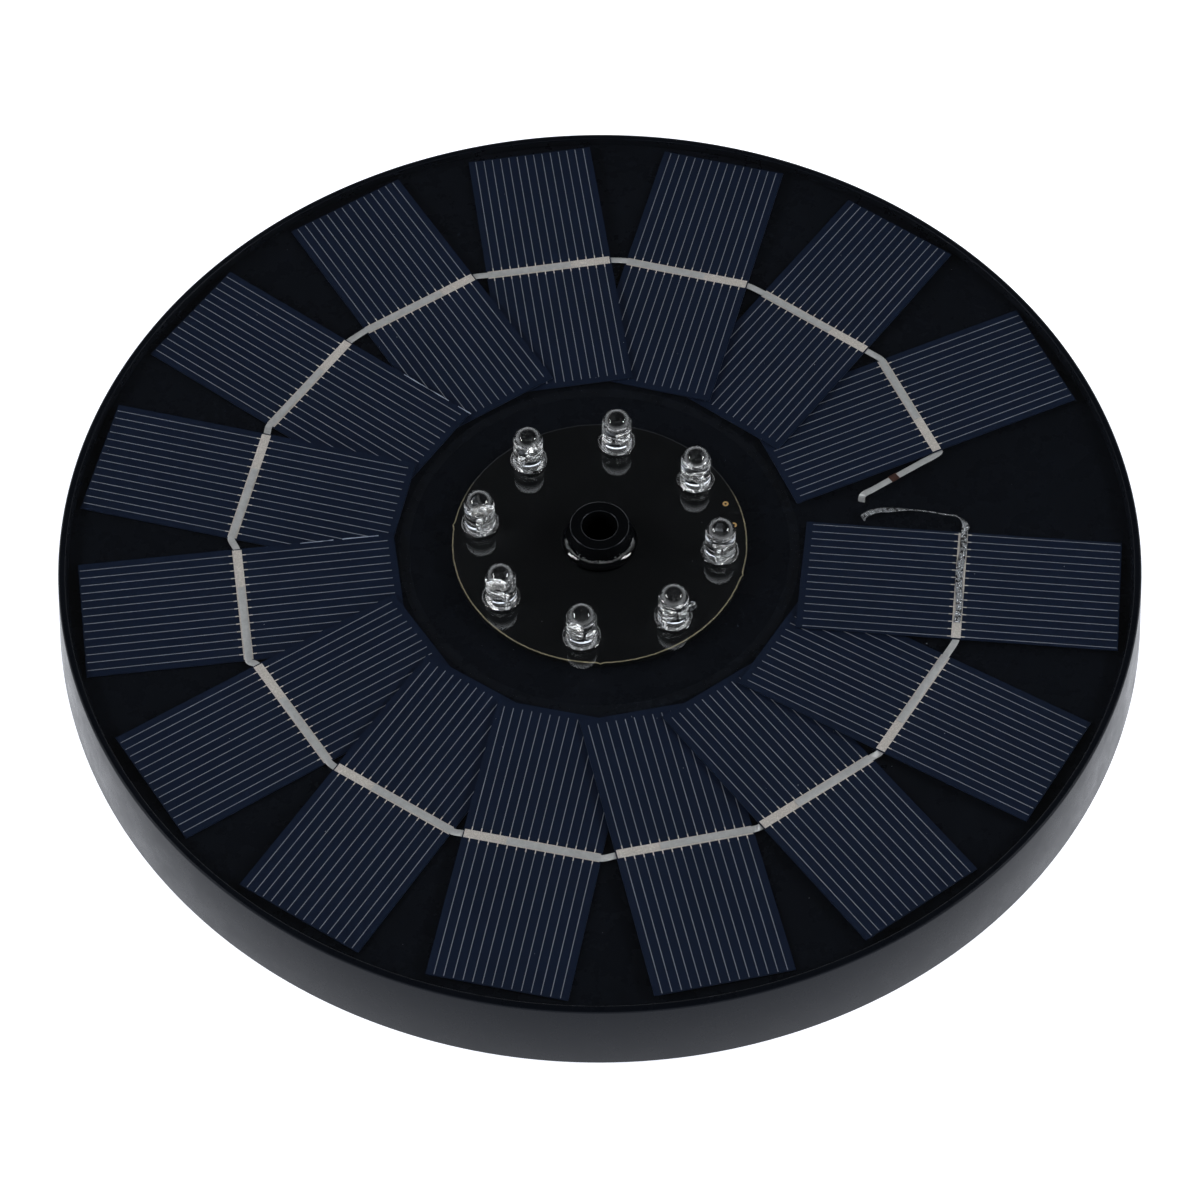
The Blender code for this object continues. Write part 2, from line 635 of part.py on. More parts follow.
# ---------------------------------------------------------------- bottom cover and what the float holds
def make_bottom_cover():
    """The bonded plate that closes the float, with radial ribs and an edge bead on its underside."""
    outer = SKIRT_R - SKIRT_WALL - SKIRT_FLARE / 2 - GAP
    bead = (outer - 0.0042, outer - 0.0022)
    low = COVER_Z - COVER_RIB_H
    profile = [
        (COVER_HOLE_R, COVER_Z + COVER_T),
        (outer, COVER_Z + COVER_T),
        (outer, COVER_Z),
        (bead[1], COVER_Z),
        (bead[1], low),
        (bead[0], low),
        (bead[0], COVER_Z),
        (COVER_HOLE_R, COVER_Z),
    ]
    cover = turned("bottom_cover", profile, BLACK_ABS, ROUND_DISC, closed=True)
    half = COVER_RIB_W / 2
    corners = ((COVER_RIB_INNER_R, -half, low), (bead[0] + 0.0008, half, COVER_Z + COVER_T / 2))
    turns = [Matrix.Rotation(math.tau * (k + 0.5) / COVER_RIBS, 4, "Z") for k in range(COVER_RIBS)]
    ribs = boxes("cover_ribs_tool", [corners] * COVER_RIBS, matrices=turns)
    hole = cylinder(
        "motor_lead_cutter", MOTOR_HOLE_R, PUMP_H - 0.003, BAY_LOW + 0.001, steps=ROUND_PIN,
        matrix=Matrix.Translation((MOTOR_LEAD_X, MOTOR_LEAD_Y, 0)),
    )
    return cut(add(cover, ribs), hole), hole


def make_foam_ring():
    outer = SKIRT_R - SKIRT_WALL - SKIRT_FLARE - GAP
    return ring("foam_ring", BAY_R + BAY_WALL + GAP, outer, BAY_LOW, BAY_TOP, EVA, 64)


def make_battery():
    length, width, height = BATTERY
    right = -(COVER_HOLE_R + 0.0025)
    low = (right - length, -width / 2, BAY_LOW)
    return box("battery_pouch", low, (right, width / 2, BAY_LOW + height), POUCH, radius=0.0009, segments=2)


def make_control_board():
    """The charge and motor driver board, with its chip, coil and capacitor."""
    length, width, thick = CONTROL_BOARD
    right = DROP_A.x + 0.0015
    left = right - length
    low_y = DROP_A.y - 0.0095
    top = BAY_LOW + thick
    board = box("control_board", (left, low_y, BAY_LOW), (right, low_y + width, top), GREEN_MASK)
    sunk = top - thick / 2
    chip = ((left + 0.0035, low_y + 0.0030, sunk), (left + 0.0085, low_y + 0.0070, top + 0.0012))
    coil = ((left + 0.0125, low_y + 0.0025, sunk), (left + 0.0185, low_y + 0.0085, top + 0.0022))
    capacitor = ((left + 0.0210, low_y + 0.0105, sunk), (left + 0.0260, low_y + 0.0140, top + 0.0018))
    return add(board, boxes("board_parts_tool", [chip, coil, capacitor]))


# ---------------------------------------------------------------- pump body
def pump_block(name, y_low, y_high, inset=0.0, look=None):
    """The pump's outline, rounded along Y, between two depths. inset draws every side in."""
    low = (BODY_X[0] + inset, y_low, inset)
    high = (BODY_X[1] - inset, y_high, PUMP_H - inset)
    return box(name, low, high, look, round_axis=1, radius=max(PUMP_ROUND - inset / 2, 0.0008))


def on_shaft(y=0.0):
    return along_y(AXIS_X, y, AXIS_Z)


def make_pump_body(lead_hole):
    """Chamber in front, rotor well and motor cavity behind, and the outlet at a tangent to the chamber."""
    body = pump_block("pump_body", FACE_Y, BODY_BACK, look=PUMP_ABS)
    cavity = box(
        "motor_cavity_cutter",
        (CAVITY_X[0], CAVITY_Y, CAVITY_Z[0]),
        (CAVITY_X[1], BODY_BACK + 0.004, CAVITY_Z[1]),
        round_axis=1, radius=PUMP_ROUND / 2,
    )
    cut(cavity, cylinder("well_tool", WELL_OUT_R, CAVITY_Y - 0.001, WELL_BACK, matrix=on_shaft()))
    seal_inner = SOCKET_R - 2 * SEAL_R - 0.00022
    groove = (SEAL_Z - SEAL_GROOVE / 2 - 0.0002, SEAL_Z + SEAL_GROOVE / 2 + 0.0002)
    outlet_profile = [
        (0, OUTLET_TOP),
        (OUTLET_R, OUTLET_TOP),
        (OUTLET_R, groove[1]),
        (seal_inner, groove[1]),
        (seal_inner, groove[0]),
        (OUTLET_R, groove[0]),
        (OUTLET_R, AXIS_Z + CHAMBER_R / 2),
        (0, AXIS_Z + CHAMBER_R / 2),
    ]
    outlet = turned("outlet_tool", outlet_profile)
    chamber = cylinder("chamber_cutter", CHAMBER_R, FACE_Y - 0.002, CHAMBER_Y, steps=48, matrix=on_shaft())
    well = cylinder("well_cutter", WELL_R, CHAMBER_Y - 0.001, WELL_END, matrix=on_shaft())
    seat = cylinder(
        "bush_seat_cutter", BUSH_SEAT_R, WELL_END - 0.001, WELL_END + 2 * GAP, steps=ROUND_SMALL,
        matrix=on_shaft(),
    )
    bore = cylinder("outlet_cutter", SPOUT_BORE_R, AXIS_Z, OUTLET_TOP + 0.001)
    add(body, outlet)
    return cut(body, bore, chamber, cavity, well, seat, lead_hole)


def make_volute_lid():
    """The plate over the chamber: suction eye, and a spoked hub that holds the front end of the shaft."""
    inset = INTAKE_WALL + GAP
    lid = pump_block("volute_lid", LID_Y, LID_Y + LID_T, inset=inset, look=PUMP_ABS)
    eye = cylinder("eye_cutter", EYE_R, LID_Y - 0.001, LID_Y + LID_T + 0.001, matrix=on_shaft())
    hub = cylinder("hub_tool", HUB_R, HUB_Y, LID_Y + LID_T, steps=ROUND_SMALL, matrix=on_shaft())
    spoke = (
        (HUB_R - 0.0008, -SPOKE_W / 2, LID_Y + 0.0001),
        (EYE_R + 0.0008, SPOKE_W / 2, LID_Y + LID_T - 0.0001),
    )
    turns = [Matrix.Rotation(math.tau * k / 3 + math.pi / 2, 4, "Z") for k in range(3)]
    spokes = boxes("spokes_tool", [spoke] * 3, matrices=turns)
    spokes.matrix_world = on_shaft()
    bore = cylinder(
        "shaft_seat_cutter", SHAFT_R + RUNNING, HUB_Y + 0.0003, LID_Y + LID_T + 0.001, steps=ROUND_SMALL,
        matrix=on_shaft(),
    )
    cut(lid, eye)
    add(lid, hub, spokes)
    return cut(lid, bore)


def make_intake_cover():
    """The slotted hood that pushes onto the pump's front and holds the sponge."""
    hood = pump_block("intake_cover", COVER_FRONT, COVER_BACK, look=PUMP_ABS)
    inner_front = COVER_FRONT + INTAKE_WALL
    inside = pump_block("hood_inside_cutter", inner_front, COVER_BACK + 0.002, inset=INTAKE_WALL)
    centre_x = sum(BODY_X) / 2
    reach = PUMP_H * 0.34
    slots = []
    for k in range(SLOT_COUNT):
        x = centre_x + (k - (SLOT_COUNT - 1) / 2) * SLOT_PITCH
        slots.append((
            (x - SLOT_W / 2, COVER_FRONT - 0.001, AXIS_Z - reach),
            (x + SLOT_W / 2, COVER_FRONT + INTAKE_WALL + 0.001, AXIS_Z + reach),
        ))
    sides = []
    for k in range(SIDE_SLOTS):
        y = COVER_FRONT + INTAKE_WALL + 0.0025 + k * SLOT_PITCH * 0.8
        for x_low in (BODY_X[0] - 0.001, BODY_X[1] - INTAKE_WALL - 0.001):
            x_high = x_low + INTAKE_WALL + 0.002
            sides.append(((x_low, y, AXIS_Z - reach), (x_high, y + SLOT_W, AXIS_Z + reach)))
    return cut(hood, inside, boxes("front_slots_cutter", slots), boxes("side_slots_cutter", sides))


def make_sponge():
    inset = INTAKE_WALL + GAP
    front = COVER_FRONT + INTAKE_WALL + GAP
    return pump_block("filter_sponge", front, front + SPONGE_T, inset=inset, look=SPONGE)


def make_rear_cap():
    """The plate bonded over the motor cavity, with a tongue that fits inside it."""
    cap = pump_block("rear_cap", BODY_BACK + GAP, BODY_BACK + GAP + CAP_T, look=PUMP_ABS)
    tongue = box(
        "cap_tongue_tool",
        (CAVITY_X[0] + GAP, BODY_BACK + GAP - CAP_TONGUE, CAVITY_Z[0] + GAP),
        (CAVITY_X[1] - GAP, BODY_BACK + GAP + CAP_T / 2, CAVITY_Z[1] - GAP),
        round_axis=1, radius=PUMP_ROUND / 2,
    )
    return add(cap, tongue)


# ---------------------------------------------------------------- motor and rotor
def make_stator():
    """A C-shaped lamination stack whose two poles wrap the rotor well, with one coil on its leg."""
    y_low, y_high = CORE_Y - CORE_DEPTH / 2, CORE_Y + CORE_DEPTH / 2
    core = box("stator_core", (CORE_X[0], y_low, CORE_Z[0]), (CORE_X[1], y_high, CORE_Z[1]), LAMINATION)
    leg_x = CORE_X[0] + CORE_LEG
    past = 0.001
    window = box(
        "core_window_cutter", (leg_x, y_low - past, CORE_Z[0] + CORE_ARM),
        (AXIS_X - POLE_R + 0.0012, y_high + past, CORE_Z[1] - CORE_ARM),
    )
    mouth = box(
        "core_mouth_cutter", (AXIS_X + POLE_R / 2, y_low - past, AXIS_Z - 0.0032),
        (CORE_X[1] + past, y_high + past, AXIS_Z + 0.0032),
    )
    pole = cylinder("pole_cutter", POLE_R, y_low - past, y_high + past, matrix=on_shaft())
    cut(core, window, mouth, pole)
    coil_z = (CORE_Z[0] + CORE_ARM + GAP, CORE_Z[1] - CORE_ARM - GAP)
    coil = box(
        "stator_coil", (CORE_X[0] - COIL_BUILD, y_low - COIL_BUILD, coil_z[0]),
        (leg_x + COIL_BUILD, y_high + COIL_BUILD, coil_z[1]), COPPER, round_axis=2, radius=0.0015, segments=3,
    )
    leg_hole = box(
        "coil_hole_cutter", (CORE_X[0] - GAP, y_low - GAP, coil_z[0] - past),
        (leg_x + GAP, y_high + GAP, coil_z[1] + past),
    )
    cut(coil, leg_hole)


def make_rotor():
    """Impeller and sleeve in one moulding, the ring magnet on the sleeve, and the fixed ceramic shaft."""
    bore = SHAFT_R + RUNNING
    vane_front = DISC_Y - DISC_T - VANE_H
    sleeve_end = MAGNET_Y + MAGNET_L + 0.0003
    profile = [
        (bore, sleeve_end),
        (SLEEVE_R, sleeve_end),
        (SLEEVE_R, DISC_Y),
        (IMPELLER_R, DISC_Y),
        (IMPELLER_R, DISC_Y - DISC_T),
        (SLEEVE_R, DISC_Y - DISC_T),
        (SLEEVE_R, vane_front),
        (bore, vane_front),
    ]
    impeller = turned("impeller", profile, WHITE_POM, ROUND_MID, closed=True, matrix=on_shaft())
    vane = (
        (SLEEVE_R - 0.0006, -VANE_T / 2, vane_front),
        (IMPELLER_R - 0.0001, VANE_T / 2, DISC_Y - DISC_T / 2),
    )
    turns = [Matrix.Rotation(math.tau * k / VANE_COUNT, 4, "Z") for k in range(VANE_COUNT)]
    vanes = boxes("vanes_tool", [vane] * VANE_COUNT, matrices=turns)
    vanes.matrix_world = on_shaft()
    add(impeller, vanes)
    magnet = ring(
        "rotor_magnet", SLEEVE_R + GAP, MAGNET_R, MAGNET_Y, MAGNET_Y + MAGNET_L, FERRITE, ROUND_MID,
        matrix=on_shaft(),
    )
    moves_with("rotor_axis", (AXIS_X, DISC_Y, AXIS_Z), impeller, magnet)
    cylinder("impeller_shaft", SHAFT_R, SHAFT_Y[0], SHAFT_Y[1], CERAMIC, ROUND_SMALL, matrix=on_shaft())
    ring(
        "rear_bush", bore, BUSH_R, BUSH_Y - BUSH_L / 2, BUSH_Y + BUSH_L / 2, RUBBER, ROUND_SMALL,
        matrix=on_shaft(),
    )


def make_motor_lead():
    """The sheathed lead from the motor cavity, up through the cover and across to the control board."""
    route = [
        Vector((MOTOR_LEAD_X, MOTOR_LEAD_Y, AXIS_Z + 0.0060)),
        Vector((MOTOR_LEAD_X, MOTOR_LEAD_Y, PUMP_H)),
        Vector((MOTOR_LEAD_X + 0.0003, MOTOR_LEAD_Y, BAY_LOW + 0.0006)),
        Vector((MOTOR_LEAD_X + 0.0040, MOTOR_LEAD_Y + 0.0005, BAY_LOW + 0.0023)),
        Vector((0.0, MOTOR_LEAD_Y - 0.0010, BAY_LOW + 0.0024)),
        Vector((DROP_A.x - CONTROL_BOARD[0] + 0.0060, DROP_A.y + 0.0055, BAY_LOW + 0.0030)),
    ]
    samples = []
    for i in range(len(route) - 1):
        before, here = route[max(i - 1, 0)], route[i]
        there, after = route[i + 1], route[min(i + 2, len(route) - 1)]
        for step in range(6):
            t = step / 6
            samples.append(0.5 * (
                2 * here + (there - before) * t + (2 * before - 5 * here + 4 * there - after) * t ** 2
                + (3 * here - before - 3 * there + after) * t ** 3
            ))
    samples.append(route[-1])
    curve = bpy.data.curves.new("motor_lead", "CURVE")
    curve.dimensions = "3D"
    curve.bevel_depth = LEAD_R
    curve.bevel_resolution = 2
    curve.use_fill_caps = True
    spline = curve.splines.new("POLY")
    spline.points.add(len(samples) - 1)
    for point, co in zip(spline.points, samples):
        point.co = (*co, 1.0)
    place(curve, "motor_lead", PVC)


make_float_tray()
make_resin()
make_cells()
make_ribbons()
make_lead_out()
make_back_lead()
make_led_board()
make_leds()
make_spout()
make_spout_seal()
_, motor_lead_hole = make_bottom_cover()
make_foam_ring()
make_battery()
make_control_board()
make_pump_body(motor_lead_hole)
make_volute_lid()
moves_with("intake_pull", (AXIS_X, COVER_BACK, AXIS_Z), make_intake_cover(), make_sponge())
make_rear_cap()
make_stator()
make_rotor()
make_motor_lead()
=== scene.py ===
import math
import random

import bmesh
import bpy
from mathutils import Matrix, Vector, geometry, noise


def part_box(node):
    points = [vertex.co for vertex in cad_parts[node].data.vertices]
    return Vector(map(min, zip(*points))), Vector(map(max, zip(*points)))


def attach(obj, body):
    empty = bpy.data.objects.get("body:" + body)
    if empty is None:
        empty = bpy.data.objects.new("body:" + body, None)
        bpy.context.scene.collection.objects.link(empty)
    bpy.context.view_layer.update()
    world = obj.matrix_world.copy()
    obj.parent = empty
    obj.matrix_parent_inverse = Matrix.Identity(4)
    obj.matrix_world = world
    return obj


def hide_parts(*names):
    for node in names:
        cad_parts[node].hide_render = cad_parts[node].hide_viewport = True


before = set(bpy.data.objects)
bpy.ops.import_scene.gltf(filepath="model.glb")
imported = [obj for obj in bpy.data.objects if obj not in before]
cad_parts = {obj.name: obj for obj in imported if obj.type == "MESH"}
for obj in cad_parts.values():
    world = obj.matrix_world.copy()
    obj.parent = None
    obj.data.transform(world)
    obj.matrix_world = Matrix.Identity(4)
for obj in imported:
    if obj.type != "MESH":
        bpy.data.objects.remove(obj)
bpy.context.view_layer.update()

# ---------------------------------------------------------------- float shell
# The float's outer moulding in black ABS: a shallow dish with a thin upright rim, a drafted skirt that
# widens downwards, and a wall under the floor round the electronics. It is moulded in one piece, and its
# outer face has the soft gloss and faint sink marks of a polished tool.
SHELL_LOW, SHELL_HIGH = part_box("float_tray")
RESIN_LOW, RESIN_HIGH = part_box("resin_fill")
BOARD_LOW, BOARD_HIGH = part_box("led_board")
SPOUT_LOW, SPOUT_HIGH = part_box("spout_tube")
SKIRT_R = SHELL_HIGH.x
SKIRT_Z = SHELL_LOW.z
RIM_Z = SHELL_HIGH.z
SKIRT_FLARE = 0.00145
RIM_R = SKIRT_R - SKIRT_FLARE
DISH_R = RESIN_HIGH.x + 0.0003
FLOOR_Z = BOARD_LOW.z - 0.0010
FLOOR_UNDER = FLOOR_Z - 0.0015
DISH_START, DISH_SLOPE = 0.0327, 0.060
SHELL_STEPS = 288


def linear(hex_colour, alpha=1.0):
    """An sRGB hex colour as the linear values that shaders take."""
    parts = [int(hex_colour[i:i + 2], 16) / 255 for i in (1, 3, 5)]
    return (*(p / 12.92 if p <= 0.04045 else ((p + 0.055) / 1.055) ** 2.4 for p in parts), alpha)


def put(tree, kind, inputs=None, **settings):
    """Adds one node: settings are its own properties, and inputs are values or sockets to link, by name."""
    made = tree.nodes.new(kind)
    for key, value in settings.items():
        setattr(made, key, value)
    for key, value in (inputs or {}).items():
        if isinstance(value, bpy.types.NodeSocket):
            tree.links.new(value, made.inputs[key])
        else:
            made.inputs[key].default_value = value
    return made


def new_look(name):
    """An empty material with its tree, its Principled shader and Object coordinates."""
    look = bpy.data.materials.new(name)
    look.use_nodes = True
    tree = look.node_tree
    return look, tree, tree.nodes["Principled BSDF"], put(tree, "ShaderNodeTexCoord").outputs["Object"]


def per_mm(size_mm):
    """A texture's scale for features of that size, because Object coordinates are in metres."""
    return 1000.0 / size_mm


def moulded(name, colour, lighter, roughness, grain_mm, grain_depth_mm, wave_mm=14.0, gloss=0.21):
    """Moulded plastic: slow colour drift, fine tool grain, and low waves where the wall sank in cooling."""
    look, tree, shader, place = new_look(name)
    drift = put(tree, "ShaderNodeTexNoise", {"Vector": place, "Scale": per_mm(22.0), "Detail": 3.0})
    tint = put(
        tree, "ShaderNodeMix", {0: drift.outputs["Fac"], 6: linear(colour), 7: linear(lighter)},
        data_type="RGBA"
    )
    tree.links.new(tint.outputs[2], shader.inputs["Base Color"])
    scuff = put(
        tree, "ShaderNodeTexNoise",
        {"Vector": place, "Scale": per_mm(5.0), "Detail": 5.0, "Roughness": 0.65}
    )
    rough = put(
        tree, "ShaderNodeMapRange",
        {
            "Value": scuff.outputs["Fac"], "From Min": 0.3, "From Max": 0.75, "To Min": roughness * 0.85,
            "To Max": roughness * 1.3
        },
    )
    tree.links.new(rough.outputs[0], shader.inputs["Roughness"])
    grain = put(tree, "ShaderNodeTexNoise", {"Vector": place, "Scale": per_mm(grain_mm), "Detail": 2.0})
    wave = put(tree, "ShaderNodeTexNoise", {"Vector": place, "Scale": per_mm(wave_mm), "Detail": 1.0})
    low = put(
        tree, "ShaderNodeBump", {"Height": wave.outputs["Fac"], "Distance": 0.00012, "Strength": 0.35}
    )
    fine = put(
        tree, "ShaderNodeBump",
        {
            "Height": grain.outputs["Fac"], "Distance": grain_depth_mm / 1000, "Strength": 1.0,
            "Normal": low.outputs[0]
        },
    )
    tree.links.new(fine.outputs[0], shader.inputs["Normal"])
    shader.inputs["Specular IOR Level"].default_value = gloss
    shader.inputs["Specular Tint"].default_value = linear("#e2e9f6")
    return look


def piece(name, bm, look, body="fountain", stands_for=(), smooth_below=40):
    """Turns a bmesh into a finished piece that rides on a body, smooth apart from its corners."""
    mesh = bpy.data.meshes.new(name)
    bm.to_mesh(mesh)
    bm.free()
    mesh.shade_smooth()
    mesh.set_sharp_from_angle(angle=math.radians(smooth_below))
    mesh.materials.append(look)
    obj = bpy.data.objects.new(name, mesh)
    bpy.context.scene.collection.objects.link(obj)
    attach(obj, body)
    if stands_for:
        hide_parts(*stands_for)
    return obj


def turned(profile, steps, closed=False):
    """A profile of (radius, height) points, turned about the float's axis."""
    bm = bmesh.new()
    points = [bm.verts.new((r, 0.0, z)) for r, z in profile]
    edges = [bm.edges.new(pair) for pair in zip(points, points[1:])]
    if closed:
        edges.append(bm.edges.new((points[-1], points[0])))
    bmesh.ops.spin(
        bm, geom=points + edges, cent=(0, 0, 0), axis=(0, 0, 1), dvec=(0, 0, 0), angle=math.tau,
        steps=steps,
        use_merge=True,
    )
    bmesh.ops.remove_doubles(bm, verts=bm.verts, dist=1e-7)
    bmesh.ops.recalc_face_normals(bm, faces=bm.faces)
    return bm


def arc(centre_r, centre_z, radius, start, end, count):
    """Points of a rounded corner in a profile, between two angles in degrees."""
    turns = [math.radians(start + (end - start) * i / count) for i in range(count + 1)]
    return [(centre_r + radius * math.cos(t), centre_z + radius * math.sin(t)) for t in turns]


def floor_z(radius):
    """The dish's floor is level in the middle, and rises outwards under the cells."""
    return FLOOR_Z + DISH_SLOPE * max(0.0, radius - DISH_START)


# black ABS, moulded in a polished tool: deep black that greys softly where it faces the light
shell_black = moulded("moulded_black_abs", "#0b0d12", "#0f1218", 0.27, 0.35, 0.0012, gloss=0.11)

rim_round = 0.00045
skirt_round = 0.0006
bay_low, bay_wall_in, bay_wall_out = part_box("foam_ring")[0].z, 0.0480, 0.0495
shell_profile = [(DISH_R - 0.0003, floor_z(DISH_R)), (DISH_R - 0.00006, floor_z(DISH_R) + 0.0006)]
shell_profile += arc(DISH_R + 0.00015, RIM_Z - 0.00015, 0.00015, 180, 90, 3)
shell_profile += arc(RIM_R - rim_round, RIM_Z - rim_round, rim_round, 90, 3, 5)
shell_profile += arc(SKIRT_R - skirt_round, SKIRT_Z + skirt_round, skirt_round, 3, -90, 5)
shell_profile += arc(SKIRT_R - 0.0022 + 0.0003, SKIRT_Z + 0.0003, 0.0003, -90, -180, 3)
shell_profile += [
    (SKIRT_R - 0.0029, floor_z(SKIRT_R - 0.0029) - 0.0015),
    (bay_wall_out, floor_z(bay_wall_out) - 0.0015),
    (bay_wall_out, bay_low),
    (bay_wall_in, bay_low),
    (bay_wall_in, FLOOR_UNDER),
    (0.0055, FLOOR_UNDER),
    (0.0055, FLOOR_Z),
    (DISH_START, FLOOR_Z),
]
piece(
    "float_shell", turned(shell_profile, SHELL_STEPS, closed=True), shell_black,
    stands_for=["float_tray"], smooth_below=50,
)

# ---------------------------------------------------------------- what the float holds
# The closed-cell foam ring, the pouch battery and the driver board lie between the floor and
# the bonded cover. They are out of sight, and keep their CAD shapes under their own finishes.


def speckled(name, dark, light, speck_mm, roughness, depth_mm, metallic=0.0):
    """A granular surface, such as foam, sponge or a cast: two tones that drift in blotches and darken into
    the pits, a painted shade.
    """
    look, tree, shader, place = new_look(name)
    cells = put(tree, "ShaderNodeTexVoronoi", {"Vector": place, "Scale": per_mm(speck_mm)})
    blotch = put(
        tree, "ShaderNodeTexNoise", {"Vector": place, "Scale": per_mm(speck_mm * 6), "Detail": 3.0}
    )
    # the tone falls with the same cell distance that sinks the pits, so the pits carry painted shade under
    # the blotchy drift
    mixed = put(
        tree, "ShaderNodeMath", {0: cells.outputs["Distance"], 1: blotch.outputs["Fac"]},
        operation="MULTIPLY"
    )
    tint = put(
        tree, "ShaderNodeMix", {0: mixed.outputs[0], 6: linear(dark), 7: linear(light)}, data_type="RGBA"
    )
    tree.links.new(tint.outputs[2], shader.inputs["Base Color"])
    pits = put(
        tree, "ShaderNodeBump", {
            "Height": cells.outputs["Distance"], "Distance": depth_mm / 1000, "Strength": 0.8
        }
    )
    tree.links.new(pits.outputs[0], shader.inputs["Normal"])
    shader.inputs["Roughness"].default_value = roughness
    shader.inputs["Metallic"].default_value = metallic
    return look


def dress(look, *nodes):
    """A CAD node whose shape is right keeps it, and takes this finish."""
    for name in nodes:
        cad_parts[name].data.materials.clear()
        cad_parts[name].data.materials.append(look)


# closed-cell foam: matt charcoal with pores
foam_look = speckled("closed_cell_foam", "#17181a", "#2c2d30", 0.8, 0.9, 0.15)
dress(foam_look, "foam_ring")
# laminated aluminium foil: silvery and faintly wrinkled
pouch_look = speckled("battery_foil_pouch", "#a9adb3", "#c9ccd0", 2.5, 0.35, 0.03, metallic=1.0)
dress(pouch_look, "battery_pouch")
# green solder mask on glass fibre: deep green with a soft shine
green_board_look = speckled("green_solder_mask", "#0b3d1f", "#14562d", 1.6, 0.35, 0.01)
dress(green_board_look, "control_board")

# ---------------------------------------------------------------- LED board
# A round glass-fibre board under black solder mask, laid in the dish and potted. It was snapped out of a
# panel, which leaves three small nubs on its edge, and the bare tan fibre shows along the edge where the
# mask stops short.
BOARD_R = BOARD_HIGH.x
BOARD_TOP = BOARD_HIGH.z
BOARD_HOLE_R = 0.0064
MASK_MARGIN = 0.00020
NUB_ANGLES = (172, -17, -90)
NUB_REACH = 0.00028
board_steps = 360


def board_edge_r(angle):
    """The board's radius at an angle, with its break-off nubs."""
    extra = 0.0
    for nub in NUB_ANGLES:
        off = (math.degrees(angle) - nub + 180) % 360 - 180
        extra = max(extra, NUB_REACH * max(0.0, 1.0 - abs(off) / 1.3))
    return BOARD_R - NUB_REACH + extra + 0.00006 * noise.noise(
        Vector((math.cos(angle) * 40, math.sin(angle) * 40, 1.7))
    )


# black solder mask, printed and baked: flat and slightly mottled, with almost no shine under the resin
mask_look, tree, shader, place = new_look("black_solder_mask")
weave = put(tree, "ShaderNodeTexNoise", {"Vector": place, "Scale": per_mm(3.0), "Detail": 4.0})
tint = put(
    tree, "ShaderNodeMix", {0: weave.outputs["Fac"], 6: linear("#050607"), 7: linear("#090a0b")},
    data_type="RGBA"
)
tree.links.new(tint.outputs[2], shader.inputs["Base Color"])
shader.inputs["Specular IOR Level"].default_value = 0.1
shader.inputs["Roughness"].default_value = 0.45

# bare glass fibre laminate, snapped: dry straw tan with short pale strands
fibre_look, tree, shader, place = new_look("bare_glass_fibre")
strands = put(tree, "ShaderNodeTexNoise", {"Vector": place, "Scale": per_mm(0.6), "Detail": 3.0})
tint = put(
    tree, "ShaderNodeMix", {0: strands.outputs["Fac"], 6: linear("#7d7257"), 7: linear("#b5a884")},
    data_type="RGBA"
)
# the mask runs over the far edge, so the fibre only shows from the sides round to the front
across = put(tree, "ShaderNodeSeparateXYZ", {"Vector": place})
reach = put(
    tree, "ShaderNodeMapRange",
    {"Value": across.outputs["Y"], "From Min": 0.004, "From Max": 0.015, "To Min": 0.0, "To Max": 1.0},
)
ragged = put(tree, "ShaderNodeTexNoise", {"Vector": place, "Scale": per_mm(2.2), "Detail": 2.0})
covered = put(
    tree, "ShaderNodeMath", {0: reach.outputs[0], 1: ragged.outputs["Fac"]}, operation="ADD"
)
covered = put(tree, "ShaderNodeMath", {0: covered.outputs[0], 1: -0.25}, operation="ADD", use_clamp=True)
masked = put(
    tree, "ShaderNodeMix", {0: covered.outputs[0], 6: tint.outputs[2], 7: linear("#1c1d21")},
    data_type="RGBA"
)
tree.links.new(masked.outputs[2], shader.inputs["Base Color"])
shader.inputs["Roughness"].default_value = 0.7

bm = bmesh.new()
rings = []
edge_steps = (
    (None, BOARD_TOP), (-MASK_MARGIN, BOARD_TOP), (0.0, BOARD_TOP - 0.00008), (0.0, BOARD_LOW.z),
    (None, BOARD_LOW.z)
)
for r_off, z in edge_steps:
    ring = []
    for k in range(board_steps):
        a = math.tau * k / board_steps
        r = BOARD_HOLE_R if r_off is None else board_edge_r(a) + r_off
        ring.append(bm.verts.new((r * math.cos(a), r * math.sin(a), z)))
    rings.append(ring)
for index, (first, second) in enumerate(zip(rings, rings[1:] + rings[:1])):
    for k in range(board_steps):
        n = (k + 1) % board_steps
        face = bm.faces.new((first[k], second[k], second[n], first[n]))
        face.material_index = 1 if index == 1 else 0
bmesh.ops.recalc_face_normals(bm, faces=bm.faces)
led_panel = piece("led_panel", bm, mask_look, stands_for=["led_board"])
led_panel.data.materials.append(fibre_look)

# Two plated test holes beside the LEDs: small gold rings round dark bores.
VIA_SPOTS = ((0.02104, 0.00742), (0.0223, 0.00303))
VIA_RING, VIA_BORE = 0.00050, 0.00020
